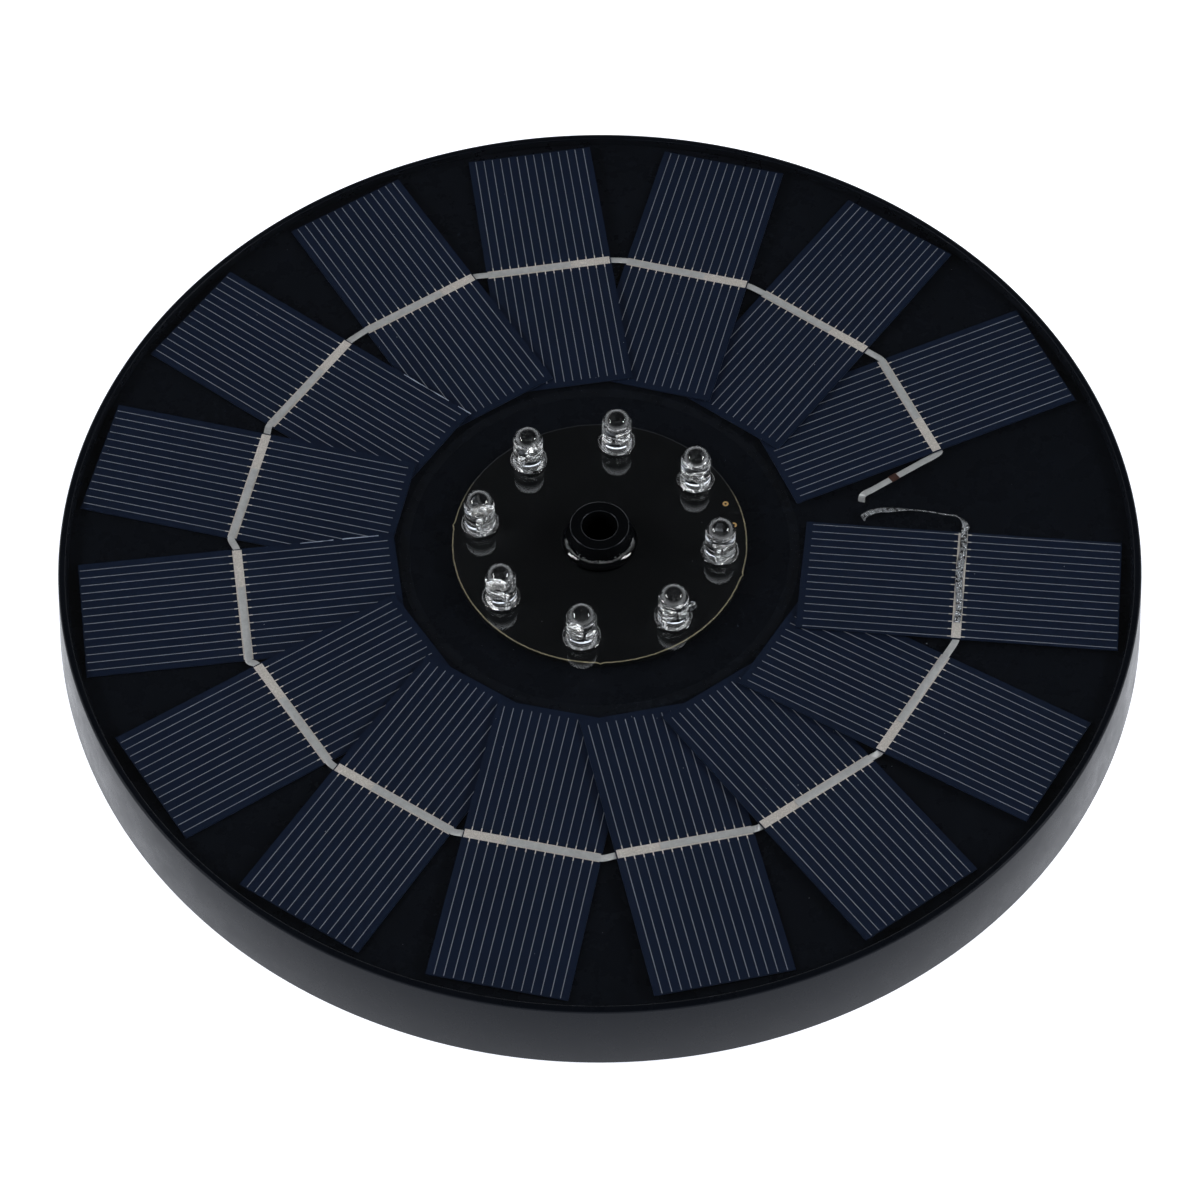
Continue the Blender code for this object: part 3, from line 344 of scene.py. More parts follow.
# gold over nickel, plated thin: warm and soft rather than mirror bright
gold_look, tree, shader, place = new_look("gold_plating")
dull = put(tree, "ShaderNodeTexNoise", {"Vector": place, "Scale": per_mm(0.3)})
rough = put(tree, "ShaderNodeMapRange", {"Value": dull.outputs["Fac"], "To Min": 0.25, "To Max": 0.5})
tree.links.new(rough.outputs[0], shader.inputs["Roughness"])
shader.inputs["Base Color"].default_value = linear("#e6b978")
shader.inputs["Metallic"].default_value = 0.45
bm = bmesh.new()
for x, y in VIA_SPOTS:
    profile = [(VIA_BORE, 0.0), (VIA_BORE, 0.00003), (VIA_RING, 0.00003), (VIA_RING, 0.0)]
    loop = turned(profile, 20, closed=True)
    bmesh.ops.translate(loop, verts=loop.verts, vec=(x, y, BOARD_TOP))
    part = bpy.data.meshes.new("via")
    loop.to_mesh(part)
    loop.free()
    bm.from_mesh(part)
    bpy.data.meshes.remove(part)
piece("plated_vias", bm, gold_look)

# ---------------------------------------------------------------- spout
# A black ABS tube, glued in under the floor. Its top is a plain flat ring round the nozzle socket, and
# polished by the tool, so it mirrors the lamps more sharply than the skirt does.
spout_look = moulded("polished_black_abs", "#060708", "#090a0c", 0.10, 0.4, 0.0004, wave_mm=4.0, gloss=0.3)
SPOUT_TOP = SPOUT_HIGH.z
SPOUT_TOP_R, SPOUT_BASE_R, SPOUT_BORE_R = 0.0049, 0.0051, 0.00295
flange_z = FLOOR_UNDER - 0.0003
spout_profile = arc(SPOUT_BORE_R + 0.00022, SPOUT_TOP - 0.00022, 0.00022, 180, 90, 4)
spout_profile += arc(SPOUT_TOP_R - 0.00022, SPOUT_TOP - 0.00022, 0.00022, 90, 0, 4)
spout_profile += [
    (SPOUT_BASE_R, RESIN_LOW.z),
    (SPOUT_BASE_R, flange_z),
    (0.0085, flange_z),
    (0.0085, flange_z - 0.0012),
    (0.00655, flange_z - 0.0012),
    (0.00655, SPOUT_LOW.z),
    (0.00475, SPOUT_LOW.z),
    (0.00475, 0.0328),
    (SPOUT_BORE_R, 0.0328),
]
piece(
    "spout", turned(spout_profile, 96, closed=True), spout_look, stands_for=[
        "spout_tube"
    ]
)

# ---------------------------------------------------------------- solar cells
# Fifteen cut silicon cells, laid like a fan so that each one laps over the next. Their blue-black comes from
# a thin anti-reflection layer over etched silicon, a little uneven from place to place.
CELL_NODES = [f"solar_cell_{n:02d}" for n in range(1, 16)]


def lie_of(node):
    """A cell's frame from its solid: X outwards along it, Y across it, Z off its face, and its sizes."""
    corners = sorted({tuple(round(c, 7) for c in v.co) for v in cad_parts[node].data.vertices})
    corners = [Vector(c) for c in corners]
    centre = sum(corners, Vector()) / len(corners)
    near = sorted(corners[1:], key=lambda c: (c - corners[0]).length)
    thick, wide = (near[0] - corners[0]).length, (near[1] - corners[0]).length
    edges = sorted((c - corners[0] for c in corners[1:]), key=lambda e: e.length)
    up = edges[0].normalized()
    up = up if up.z > 0 else -up
    along = next(e for e in edges[1:] if e.length > 1.5 * wide and abs(e.normalized().dot(up)) < 0.001)
    long = along.length
    along = along.normalized()
    along = along if along.dot(centre) > 0 else -along
    side = up.cross(along)
    turn = Matrix((along, side, up)).transposed().to_4x4()
    return Matrix.Translation(centre) @ turn, long, wide, thick


cell_lies = [lie_of(node) for node in CELL_NODES]
CELL_W = cell_lies[0][2]

# etched silicon with its blue anti-reflection layer: nearly black, and blue where light falls on it
silicon_look, tree, shader, place = new_look("etched_silicon")
grain = put(
    tree, "ShaderNodeTexNoise", {"Vector": place, "Scale": per_mm(9.0), "Detail": 4.0, "Roughness": 0.6}
)
tint = put(
    tree, "ShaderNodeMix", {0: grain.outputs["Fac"], 6: linear("#0e182a"), 7: linear("#101b30")},
    data_type="RGBA"
)
tree.links.new(tint.outputs[2], shader.inputs["Base Color"])
etch = put(tree, "ShaderNodeTexNoise", {"Vector": place, "Scale": per_mm(0.25), "Detail": 1.0})
rough = put(tree, "ShaderNodeMapRange", {"Value": etch.outputs["Fac"], "To Min": 0.35, "To Max": 0.5})
tree.links.new(rough.outputs[0], shader.inputs["Roughness"])
shader.inputs["Specular IOR Level"].default_value = 0.15
dress(silicon_look, *CELL_NODES)

# ---------------------------------------------------------------- printed silver
# Each cell's grid of fired silver paste: fine fingers along the cell, and one wide bar across its middle,
# where the fingers broaden. The paste is greyish on the fingers, and a dotted pinkish tan on the bare bar.
FINGER_PITCH = 0.00150
FINGER_W = 0.00013
BAR_W = 0.00155
# the first cell was cut one finger wider than the rest
FINGERS = (15,) + (14,) * 14

# fired silver paste, screen printed thin: a matt cool grey line
finger_look, tree, shader, place = new_look("fired_silver_fingers")
wear = put(tree, "ShaderNodeTexNoise", {"Vector": place, "Scale": per_mm(4.0), "Detail": 3.0})
tint = put(
    tree, "ShaderNodeMix", {0: wear.outputs["Fac"], 6: linear("#70747d"), 7: linear("#8f939b")},
    data_type="RGBA"
)
tree.links.new(tint.outputs[2], shader.inputs["Base Color"])
shader.inputs["Roughness"].default_value = 0.6

# fired silver paste, printed wide: matt, dotted by the mesh, and a warm tan
bar_look, tree, shader, place = new_look("fired_silver_bar")
dots = put(tree, "ShaderNodeTexVoronoi", {"Vector": place, "Scale": per_mm(0.22)})
tint = put(
    tree, "ShaderNodeMix", {0: dots.outputs["Distance"], 6: linear("#b7aca2"), 7: linear("#e3dacf")},
    data_type="RGBA"
)
tree.links.new(tint.outputs[2], shader.inputs["Base Color"])
shader.inputs["Roughness"].default_value = 0.75

print_tree = bpy.data.node_groups.new("silver_print", "GeometryNodeTree")
sizes = {}
for label, kind in (
    ("Finger Length", "NodeSocketFloat"), ("Finger Start", "NodeSocketFloat"), ("Fingers", "NodeSocketInt"),
    ("Pitch", "NodeSocketFloat"), ("Shift", "NodeSocketFloat"), ("Finger Width", "NodeSocketFloat"),
    ("Bar Length", "NodeSocketFloat"), ("Bar Width", "NodeSocketFloat"), ("Flare", "NodeSocketFloat"),
    ("Height", "NodeSocketFloat"),
):
    sizes[label] = print_tree.interface.new_socket(name=label, in_out="INPUT", socket_type=kind)
print_tree.interface.new_socket(name="Geometry", in_out="OUTPUT", socket_type="NodeSocketGeometry")
given = put(print_tree, "NodeGroupInput").outputs


# the first finger's place across the cell, and the middle of a finger along it
spaces = put(print_tree, "ShaderNodeMath", {0: given["Fingers"], 1: 1.0}, operation="SUBTRACT")
half_pitch = put(print_tree, "ShaderNodeMath", {0: given["Pitch"], 1: -0.5}, operation="MULTIPLY")
half_span = put(
    print_tree, "ShaderNodeMath", {0: spaces.outputs[0], 1: half_pitch.outputs[0]}, operation="MULTIPLY"
)
first_y = put(print_tree, "ShaderNodeMath", {0: half_span.outputs[0], 1: given["Shift"]}, operation="ADD")
half_finger = put(print_tree, "ShaderNodeMath", {0: given["Finger Length"], 1: 0.5}, operation="MULTIPLY")
finger_x = put(
    print_tree, "ShaderNodeMath", {0: given["Finger Start"], 1: half_finger.outputs[0]}, operation="ADD"
)
first_finger = put(print_tree, "ShaderNodeCombineXYZ", {0: finger_x.outputs[0], 1: first_y.outputs[0]})
first_flare = put(print_tree, "ShaderNodeCombineXYZ", {1: first_y.outputs[0]})
row_step = put(print_tree, "ShaderNodeCombineXYZ", {1: given["Pitch"]})
rows = put(
    print_tree, "GeometryNodeMeshLine",
    {"Count": given["Fingers"], "Start Location": first_finger.outputs[0], "Offset": row_step.outputs[0]},
    mode="OFFSET",
)
finger_size = put(
    print_tree, "ShaderNodeCombineXYZ", {
        0: given["Finger Length"], 1: given["Finger Width"], 2: given["Height"]
    }
)
finger = put(print_tree, "GeometryNodeMeshCube", {"Size": finger_size.outputs[0]})
fingers = put(
    print_tree, "GeometryNodeInstanceOnPoints", {"Points": rows.outputs[0], "Instance": finger.outputs[0]}
)
# where a finger meets the bar it broadens, and stands a little higher
flare_rows = put(
    print_tree, "GeometryNodeMeshLine",
    {"Count": given["Fingers"], "Start Location": first_flare.outputs[0], "Offset": row_step.outputs[0]},
    mode="OFFSET",
)
flare_length = put(
    print_tree, "ShaderNodeMath", {0: given["Bar Width"], 1: given["Flare"]}, operation="ADD"
)
flare_width = put(print_tree, "ShaderNodeMath", {0: given["Finger Width"], 1: 1.35}, operation="MULTIPLY")
flare_height = put(print_tree, "ShaderNodeMath", {0: given["Height"], 1: 1.3}, operation="MULTIPLY")
flare_size = put(
    print_tree, "ShaderNodeCombineXYZ",
    {0: flare_length.outputs[0], 1: flare_width.outputs[0], 2: flare_height.outputs[0]},
)
flare = put(print_tree, "GeometryNodeMeshCube", {"Size": flare_size.outputs[0]})
flares = put(
    print_tree, "GeometryNodeInstanceOnPoints", {
        "Points": flare_rows.outputs[0], "Instance": flare.outputs[0]
    }
)
bar_height = put(print_tree, "ShaderNodeMath", {0: given["Height"], 1: 1.7}, operation="MULTIPLY")
bar_size = put(
    print_tree, "ShaderNodeCombineXYZ", {
        0: given["Bar Width"], 1: given["Bar Length"], 2: bar_height.outputs[0]
    }
)
bar = put(print_tree, "GeometryNodeMeshCube", {"Size": bar_size.outputs[0]})
grey_parts = put(print_tree, "GeometryNodeRealizeInstances", {0: fingers.outputs[0]})
grey = put(
    print_tree, "GeometryNodeSetMaterial", {"Geometry": grey_parts.outputs[0], "Material": finger_look}
)
real_flares = put(print_tree, "GeometryNodeRealizeInstances", {0: flares.outputs[0]})
tan_parts = put(print_tree, "GeometryNodeJoinGeometry")
print_tree.links.new(real_flares.outputs[0], tan_parts.inputs[0])
print_tree.links.new(bar.outputs[0], tan_parts.inputs[0])
tan = put(print_tree, "GeometryNodeSetMaterial", {"Geometry": tan_parts.outputs[0], "Material": bar_look})
whole = put(print_tree, "GeometryNodeJoinGeometry")
print_tree.links.new(tan.outputs[0], whole.inputs[0])
print_tree.links.new(grey.outputs[0], whole.inputs[0])
put(print_tree, "NodeGroupOutput", {0: whole.outputs[0]})


def grown(name, tree, values, seat):
    """Grows a tree's mesh with these input values, sets it in its place and makes it a piece."""
    seed = bpy.data.objects.new(name + "_seed", bpy.data.meshes.new(name + "_seed"))
    bpy.context.scene.collection.objects.link(seed)
    modifier = seed.modifiers.new("grow", "NODES")
    modifier.node_group = tree
    for label, value in values.items():
        modifier[sizes[label].identifier] = value
    bpy.context.view_layer.update()
    mesh = bpy.data.meshes.new_from_object(seed.evaluated_get(bpy.context.evaluated_depsgraph_get()))
    mesh.name = name
    bpy.data.objects.remove(seed)
    mesh.transform(seat)
    obj = bpy.data.objects.new(name, mesh)
    bpy.context.scene.collection.objects.link(obj)
    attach(obj, "fountain")
    return obj


print_h = 0.00002
for number, ((seat, long, wide, thick), count) in enumerate(zip(cell_lies, FINGERS), 1):
    inner, outer = 0.0011, 0.0002
    grown(
        f"silver_print_{number:02d}", print_tree,
        {
            "Finger Length": long - inner - outer, "Finger Start": -long / 2 + inner, "Fingers": count,
            "Pitch": FINGER_PITCH, "Shift": 0.0, "Finger Width": FINGER_W, "Bar Length": wide - 0.0004,
            "Bar Width": BAR_W, "Flare": 0.0013, "Height": print_h,
        },
        seat @ Matrix.Translation((0, 0, thick / 2 + print_h * 0.6)),
    )

# ---------------------------------------------------------------- tab ribbons
# Flat tinned copper ribbon, 1.2 by 0.15 mm, soldered by hand along each cell's bar for two thirds of its
# width. It dips off the edge, and goes under the next cell to its back. Where the iron rested, the solder
# lies in lumps.
RIBBON_W, RIBBON_T = 0.00115, 0.00015

# tin dipped copper, rolled: soft uneven grey with brighter streaks along it
tin_look, tree, shader, place = new_look("tinned_copper")
brushed = put(
    tree, "ShaderNodeTexNoise", {"Vector": place, "Scale": per_mm(0.9), "Detail": 6.0, "Roughness": 0.7}
)
tint = put(
    tree, "ShaderNodeMix", {0: brushed.outputs["Fac"], 6: linear("#a9a7a4"), 7: linear("#e2e0dc")},
    data_type="RGBA"
)
tree.links.new(tint.outputs[2], shader.inputs["Base Color"])
rough = put(
    tree, "ShaderNodeMapRange",
    {"Value": brushed.outputs["Fac"], "From Min": 0.35, "From Max": 0.7, "To Min": 0.28, "To Max": 0.6},
)
tree.links.new(rough.outputs[0], shader.inputs["Roughness"])
ripple = put(tree, "ShaderNodeTexNoise", {"Vector": place, "Scale": per_mm(0.5), "Detail": 2.0})
dents = put(tree, "ShaderNodeBump", {"Height": ripple.outputs["Fac"], "Distance": 0.00008, "Strength": 0.6})
tree.links.new(dents.outputs[0], shader.inputs["Normal"])
shader.inputs["Metallic"].default_value = 0.3

# tin solder melted on by hand: grey lumps painted lighter where they stand highest, a painted highlight, with
# dark specks scattered between them
solder_look, tree, shader, place = new_look("hand_solder")
# the colour follows the same noise as the lumps' bump, so the raised tops carry a painted highlight
flow = put(tree, "ShaderNodeTexNoise", {"Vector": place, "Scale": per_mm(0.7), "Detail": 4.0})
tint = put(
    tree, "ShaderNodeMix", {0: flow.outputs["Fac"], 6: linear("#c4c5c8"), 7: linear("#f6f6f4")},
    data_type="RGBA"
)
pits = put(tree, "ShaderNodeTexNoise", {"Vector": place, "Scale": per_mm(0.55), "Detail": 2.0})
dark = put(
    tree, "ShaderNodeMapRange",
    {"Value": pits.outputs["Fac"], "From Min": 0.40, "From Max": 0.46, "To Min": 0.0, "To Max": 1.0},
)
tinned = put(
    tree, "ShaderNodeMix", {0: dark.outputs[0], 6: linear("#2c2a29"), 7: tint.outputs[2]}, data_type="RGBA"
)
tree.links.new(tinned.outputs[2], shader.inputs["Base Color"])
lumps = put(tree, "ShaderNodeBump", {"Height": flow.outputs["Fac"], "Distance": 0.0007, "Strength": 1.0})
tree.links.new(lumps.outputs[0], shader.inputs["Normal"])
shader.inputs["Roughness"].default_value = 0.18
shader.inputs["Metallic"].default_value = 0.75


def through(points, steps):
    """A smooth run through points, with as many steps between each two of them."""
    run = []
    for i in range(len(points) - 1):
        before, here = points[max(i - 1, 0)], points[i]
        there, after = points[i + 1], points[min(i + 2, len(points) - 1)]
        for step in range(steps):
            t = step / steps
            run.append(0.5 * (
                2 * here + (there - before) * t + (2 * before - 5 * here + 4 * there - after) * t ** 2
                + (3 * here - before - 3 * there + after) * t ** 3
            ))
    run.append(points[-1])
    return run


def strip(path, rolls, width, thick, lumpiness, seed):
    """A flat ribbon along a path, rolled about it by the angles given, with uneven solder on its faces."""
    bm = bmesh.new()
    section = [
        (-0.5, -0.25), (-0.42, -0.5), (0.0, -0.5), (0.42, -0.5), (0.5, -0.25),
        (0.5, 0.25), (0.42, 0.5), (0.16, 0.56), (-0.16, 0.56), (-0.42, 0.5), (-0.5, 0.25),
    ]
    rings = []
    for i, (at, roll) in enumerate(zip(path, rolls)):
        ahead = path[min(i + 1, len(path) - 1)] - path[max(i - 1, 0)]
        side = ahead.cross(Vector((0, 0, 1))).normalized()
        up = side.cross(ahead).normalized()
        turn = Matrix.Rotation(math.radians(roll), 3, ahead.normalized())
        side, up = turn @ side, turn @ up
        ring = []
        for a, b in section:
            spot = at + side * a * width + up * b * thick
            swell = lumpiness * noise.noise(spot * per_mm(0.9) + Vector((seed, seed * 2.1, 0)))
            edge = 0.5 * lumpiness * noise.noise(spot * per_mm(2.0) + Vector((0, seed, seed)))
            lift = max(0.0, swell) * 0.00022 if b > 0 else 0.0
            ring.append(bm.verts.new(spot + up * lift + side * a * edge * 0.0004))
        rings.append(ring)
    for first, second in zip(rings, rings[1:]):
        for k in range(len(section)):
            n = (k + 1) % len(section)
            bm.faces.new((first[k], first[n], second[n], second[k]))
    bm.faces.new(rings[0])
    bm.faces.new(rings[-1])
    bmesh.ops.recalc_face_normals(bm, faces=bm.faces)
    return bm


def on_cell(index, along, across, off=0.0):
    """A point on a cell, off its top face if off is positive, or off its back if it is negative."""
    seat, long, wide, thick = cell_lies[index]
    lift = off + (thick / 2 if off >= 0 else -thick / 2)
    return seat @ Vector((along, across, lift))


ride_h = RIBBON_T / 2 + 0.00006
for index in range(1, 15):
    half = CELL_W / 2
    drift = 0.00012 * noise.noise(Vector((index * 3.3, 0.5, 0.2)))
    start = -0.0037 + 0.0012 * noise.noise(Vector((index * 1.7, 2.5, 0.9)))
    points = [
        on_cell(index, drift, start + (half - start) * t, ride_h) for t in (0.0, 0.25, 0.5, 0.75, 0.93)
    ]
    points += [
        on_cell(index, drift, half + 0.0002, ride_h),
        on_cell(index - 1, drift, -half - 0.0002, -ride_h - 0.00002),
        on_cell(index - 1, drift, -half + 0.0012, -ride_h),
        on_cell(index - 1, drift, -half + 0.0030, -ride_h),
    ]
    path = through(points, 8)
    rolls = [0.0] * len(path)
    piece(
        f"ribbon_{index + 1:02d}", strip(path, rolls, RIBBON_W, RIBBON_T, 0.25, index), tin_look,
        stands_for=[f"tab_ribbon_{index + 1:02d}"], smooth_below=60,
    )

# The first cell's lead: soldered roughly over the whole bar, it leaves past the cell's edge, twists on edge
# and runs inwards to where it drops through the floor. The last cell's lead comes out from under it and
# runs flat.
half = CELL_W / 2
lead_z = floor_z(0.0440) + 0.0013
lead_tip = Vector((0.04425, 0.00500, lead_z))
points = [
    on_cell(0, 0.0002 * math.sin(t * 9), -0.0078 + (half + 0.0072) * t, ride_h)
    for t in (0.0, 0.2, 0.4, 0.6, 0.8, 0.97)
]
points += [on_cell(0, 0.0002, half + 0.0016, ride_h), Vector((0.0594, 0.0041, lead_z + 0.0009))]
points += [Vector((x, y, lead_z + lift)) for x, y, lift in (
    (0.0570, 0.0047, 0.0007), (0.0540, 0.0055, 0.0005), (0.0510, 0.0059, 0.0004), (0.0482, 0.0060, 0.0002),
)]
points += [Vector((0.0460, 0.0059, lead_z)), lead_tip, Vector((0.0439, 0.0047, floor_z(0.044) + 0.0005))]
path = through(points, 10)
turn_at, flat_at = 68, 112
rolls = [
    0.0 if i < turn_at - 12 else 76.0 * min(1.0, (i - turn_at + 12) / 14) * (
        1.0 if i < flat_at - 16 else max(0.25, (flat_at - i) / 16)
    )
    for i in range(len(path))
]
first_lead = strip(path, rolls, RIBBON_W, RIBBON_T * 1.2, 1.0, 31)
piece(
    "first_lead", first_lead, solder_look, stands_for=["tab_ribbon_01"],
    smooth_below=60
)

edge = on_cell(14, 0.0, -half - 0.0003, -ride_h)
last_tip = Vector((0.0441, 0.0091, floor_z(0.044) + 0.0017))
points = [on_cell(14, 0.0, -half + 0.0030, -ride_h), on_cell(14, 0.0, -half + 0.0008, -ride_h), edge]
points += [edge.lerp(last_tip, t) for t in (0.3, 0.6, 0.85)]
points += [last_tip, Vector((0.0438, 0.0082, floor_z(0.044) + 0.0005))]
path = through(points, 8)
piece(
    "last_lead", strip(path, [8.0] * len(path), RIBBON_W, RIBBON_T, 0.35, 47), tin_look,
    stands_for=["lead_ribbon"], smooth_below=60,
)

# Burnt flux on the last lead, where it was tacked down: a small dark brown scab right across the ribbon.
# rosin flux, scorched: a brown crust that still shines a little
flux_look, tree, shader, place = new_look("burnt_flux")
crust = put(tree, "ShaderNodeTexNoise", {"Vector": place, "Scale": per_mm(0.4), "Detail": 3.0})
tint = put(
    tree, "ShaderNodeMix", {0: crust.outputs["Fac"], 6: linear("#120a08"), 7: linear("#5a3527")},
    data_type="RGBA"
)
tree.links.new(tint.outputs[2], shader.inputs["Base Color"])
shader.inputs["Roughness"].default_value = 0.35
scab = [edge.lerp(last_tip, 0.545 + 0.012 * k) + Vector((0, 0, 0.00006)) for k in range(9)]
piece(
    "flux_scab", strip(scab, [8.0] * 9, RIBBON_W * 1.12, RIBBON_T * 1.2, 1.2, 5), flux_look,
    smooth_below=60,
)

# ---------------------------------------------------------------- LEDs
# Eight round 5 mm LEDs in water-clear epoxy, with their plated lead frame showing inside: the wide anvil
# that carries the die, and the post beside it that the bond wire runs to.
LED_NODES = [f"led_{n:02d}" for n in range(1, 9)]
LED_R, LED_FLANGE_R, LED_TALL = 0.0025, 0.0029, 0.0086
LED_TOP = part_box("led_01")[1].z
LED_FOOT = LED_TOP - LED_TALL

# epoxy cast round the lead frame: clear as water, with the faintest swirl from the mould
epoxy_look, tree, shader, place = new_look("water_clear_epoxy")
shader.inputs["Base Color"].default_value = linear("#f6f8fb")
shader.inputs["Transmission Weight"].default_value = 1.0
shader.inputs["IOR"].default_value = 1.54
flow = put(tree, "ShaderNodeTexNoise", {"Vector": place, "Scale": per_mm(1.6), "Detail": 2.0})
rough = put(tree, "ShaderNodeMapRange", {"Value": flow.outputs["Fac"], "To Min": 0.0, "To Max": 0.04})
tree.links.new(rough.outputs[0], shader.inputs["Roughness"])
swirl = put(tree, "ShaderNodeBump", {"Height": flow.outputs["Fac"], "Distance": 0.00003, "Strength": 0.15})
tree.links.new(swirl.outputs[0], shader.inputs["Normal"])
rays = put(tree, "ShaderNodeLightPath")
open_way = put(tree, "ShaderNodeBsdfTransparent", {"Color": linear("#f6f8fb")})
lets_light_in = put(
    tree, "ShaderNodeMixShader", {
        0: rays.outputs["Is Shadow Ray"], 1: shader.outputs[0], 2: open_way.outputs[0]
    }
)
tree.links.new(lets_light_in.outputs[0], tree.nodes["Material Output"].inputs["Surface"])

# silver plated steel, punched: bright, and dented enough to break reflections into glints
plate_look, tree, shader, place = new_look("silver_plated_lead_frame")
stamped = put(tree, "ShaderNodeTexNoise", {"Vector": place, "Scale": per_mm(0.5), "Detail": 3.0})
rough = put(tree, "ShaderNodeMapRange", {"Value": stamped.outputs["Fac"], "To Min": 0.06, "To Max": 0.25})
tree.links.new(rough.outputs[0], shader.inputs["Roughness"])
hammered = put(tree, "ShaderNodeTexNoise", {"Vector": place, "Scale": per_mm(0.9), "Detail": 2.0})
waves = put(
    tree, "ShaderNodeBump", {"Height": hammered.outputs["Fac"], "Distance": 0.0006, "Strength": 0.9}
)
tree.links.new(waves.outputs[0], shader.inputs["Normal"])
shader.inputs["Base Color"].default_value = linear("#f4f3f0")
shader.inputs["Metallic"].default_value = 0.95

ANVIL = (
    (-1.50, -3.0), (-0.98, -3.0), (-0.98, 1.6), (0.10, 2.2), (0.10, 3.5), (-0.10, 4.0), (-1.10, 4.0),
    (-1.35, 3.4), (-1.35, 2.2), (-1.50, 1.4)
)
POST = (
    (0.98, -3.0), (1.50, -3.0), (1.50, 1.3), (1.35, 3.0), (1.05, 3.6), (0.45, 3.6), (0.38, 3.2),
    (0.38, 2.1), (0.98, 1.3)
)


def stamped_plate(outline, thick):
    """A plate of the lead frame, punched from sheet, in millimetres across and up."""
    bm = bmesh.new()
    front = [bm.verts.new((-thick / 2000, x / 1000, z / 1000)) for x, z in outline]
    back = [bm.verts.new((thick / 2000, x / 1000, z / 1000)) for x, z in outline]
    bm.faces.new(front)
    bm.faces.new(list(reversed(back)))
    for k in range(len(outline)):
        n = (k + 1) % len(outline)
        bm.faces.new((front[k], front[n], back[n], back[k]))
    bmesh.ops.recalc_face_normals(bm, faces=bm.faces)
    bmesh.ops.bevel(
        bm, geom=list(bm.edges), offset=0.00005, segments=2, profile=0.5, affect="EDGES", clamp_overlap=True
    )
    return bm


def joined(parts):
    """Several bmeshes, each with its matrix, as one."""
    whole = bmesh.new()
    for part, seat in parts:
        bmesh.ops.transform(part, matrix=seat, verts=part.verts)
        mesh = bpy.data.meshes.new("part")
        part.to_mesh(mesh)
        part.free()
        whole.from_mesh(mesh)
        bpy.data.meshes.remove(mesh)
    return whole


led_profile = [(0.0, LED_TALL)]
led_profile += [
    (LED_R * math.cos(math.radians(t)), LED_TALL - LED_R + LED_R * math.sin(math.radians(t)))
    for t in (84, 78, 72, 66, 60, 54, 48, 42, 36, 30, 24, 18, 12, 6, 0)
]
led_profile += [
    (LED_R, 0.0045), (LED_R, 0.0018), (0.00254, 0.0015), (0.00265, 0.00125), (0.00281, 0.0011), (
        LED_FLANGE_R, 0.00095
    ),
    (LED_FLANGE_R, 0.0), (0.0, 0.0),
]
for number, node in enumerate(LED_NODES, 1):
    low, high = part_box(node)
    spot = Vector(((low.x + high.x) / 2, (low.y + high.y) / 2, LED_FOOT))
    ring_at = Vector((spot.x, spot.y, 0)).normalized() * 0.0200
    seat = Matrix.Translation((ring_at.x, ring_at.y, LED_FOOT)) @ Matrix.Rotation(
        math.atan2(ring_at.y, ring_at.x), 4, "Z"
    )
    body = turned(led_profile, 96)
    piece(
        f"led_epoxy_{number:02d}", joined([(body, seat)]), epoxy_look, stands_for=[node],
        smooth_below=50
    )
    cup = turned([(0.00042, 0.0), (0.00062, 0.00035), (0.00075, 0.00035), (0.00062, 0.0)], 24, closed=True)
    parts = [
        (stamped_plate(ANVIL, 0.5), seat), (stamped_plate(POST, 0.5), seat),
        (cup, seat @ Matrix.Translation((0, -0.0006, 0.0040))),
    ]
    piece(f"led_frame_{number:02d}", joined(parts), plate_look)

# ---------------------------------------------------------------- resin
# Clear casting resin, poured over cells and board until only the LEDs and the spout stand out. It sets with
# a mirror surface, and creeps up the rim, the spout and every LED in a small meniscus.
RESIN_Z = RIM_Z - 0.0016
RESIN_EDGE_Z = RIM_Z - 0.00025
LEVEL_R = 0.0300
# the resin dips in a shallow moat round the spout, and clings to its wall: radius and height from the level
# surface
MOAT = (
    (4.97, 0.62), (5.1, 0.45), (5.2, 0.15), (5.35, -0.05), (5.55, -0.22), (5.75, -0.37), (5.95, -0.50),
    (6.12, -0.60), (6.28, -0.62),
    (6.38, -0.50), (6.45, -0.25), (6.52, -0.06), (6.62, -0.01), (6.8, 0.0),
)
LED_CREEP_H, LED_CREEP_R = 0.00034, 0.00020
led_spots = []
for node in LED_NODES:
    low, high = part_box(node)
    led_spots.append(Vector(((low.x + high.x) / 2, (low.y + high.y) / 2)).normalized() * 0.0200)


def resin_height(x, y):
    """How high the resin's surface lies at a point."""
    r = math.hypot(x, y)
    z = RESIN_Z + (RESIN_EDGE_Z - RESIN_Z) * max(0.0, r - LEVEL_R) / (DISH_R - LEVEL_R)
    for (r_in, h_in), (r_out, h_out) in zip(MOAT, MOAT[1:]):
        if r_in <= r * 1000 <= r_out:
            z += (h_in + (h_out - h_in) * (r * 1000 - r_in) / (r_out - r_in)) / 1000
    for spot in led_spots:
        away = math.hypot(x - spot.x, y - spot.y)
        if away < 0.006:
            uneven = 1.0 + 1.2 * noise.noise(Vector((x, y, 0.0)) * per_mm(1.3))
            z += uneven * LED_CREEP_H * math.exp(-max(0.0, away - LED_FLANGE_R) / LED_CREEP_R)
    return z + 0.00001 * noise.noise(Vector((x * 60, y * 60, 3.1)))


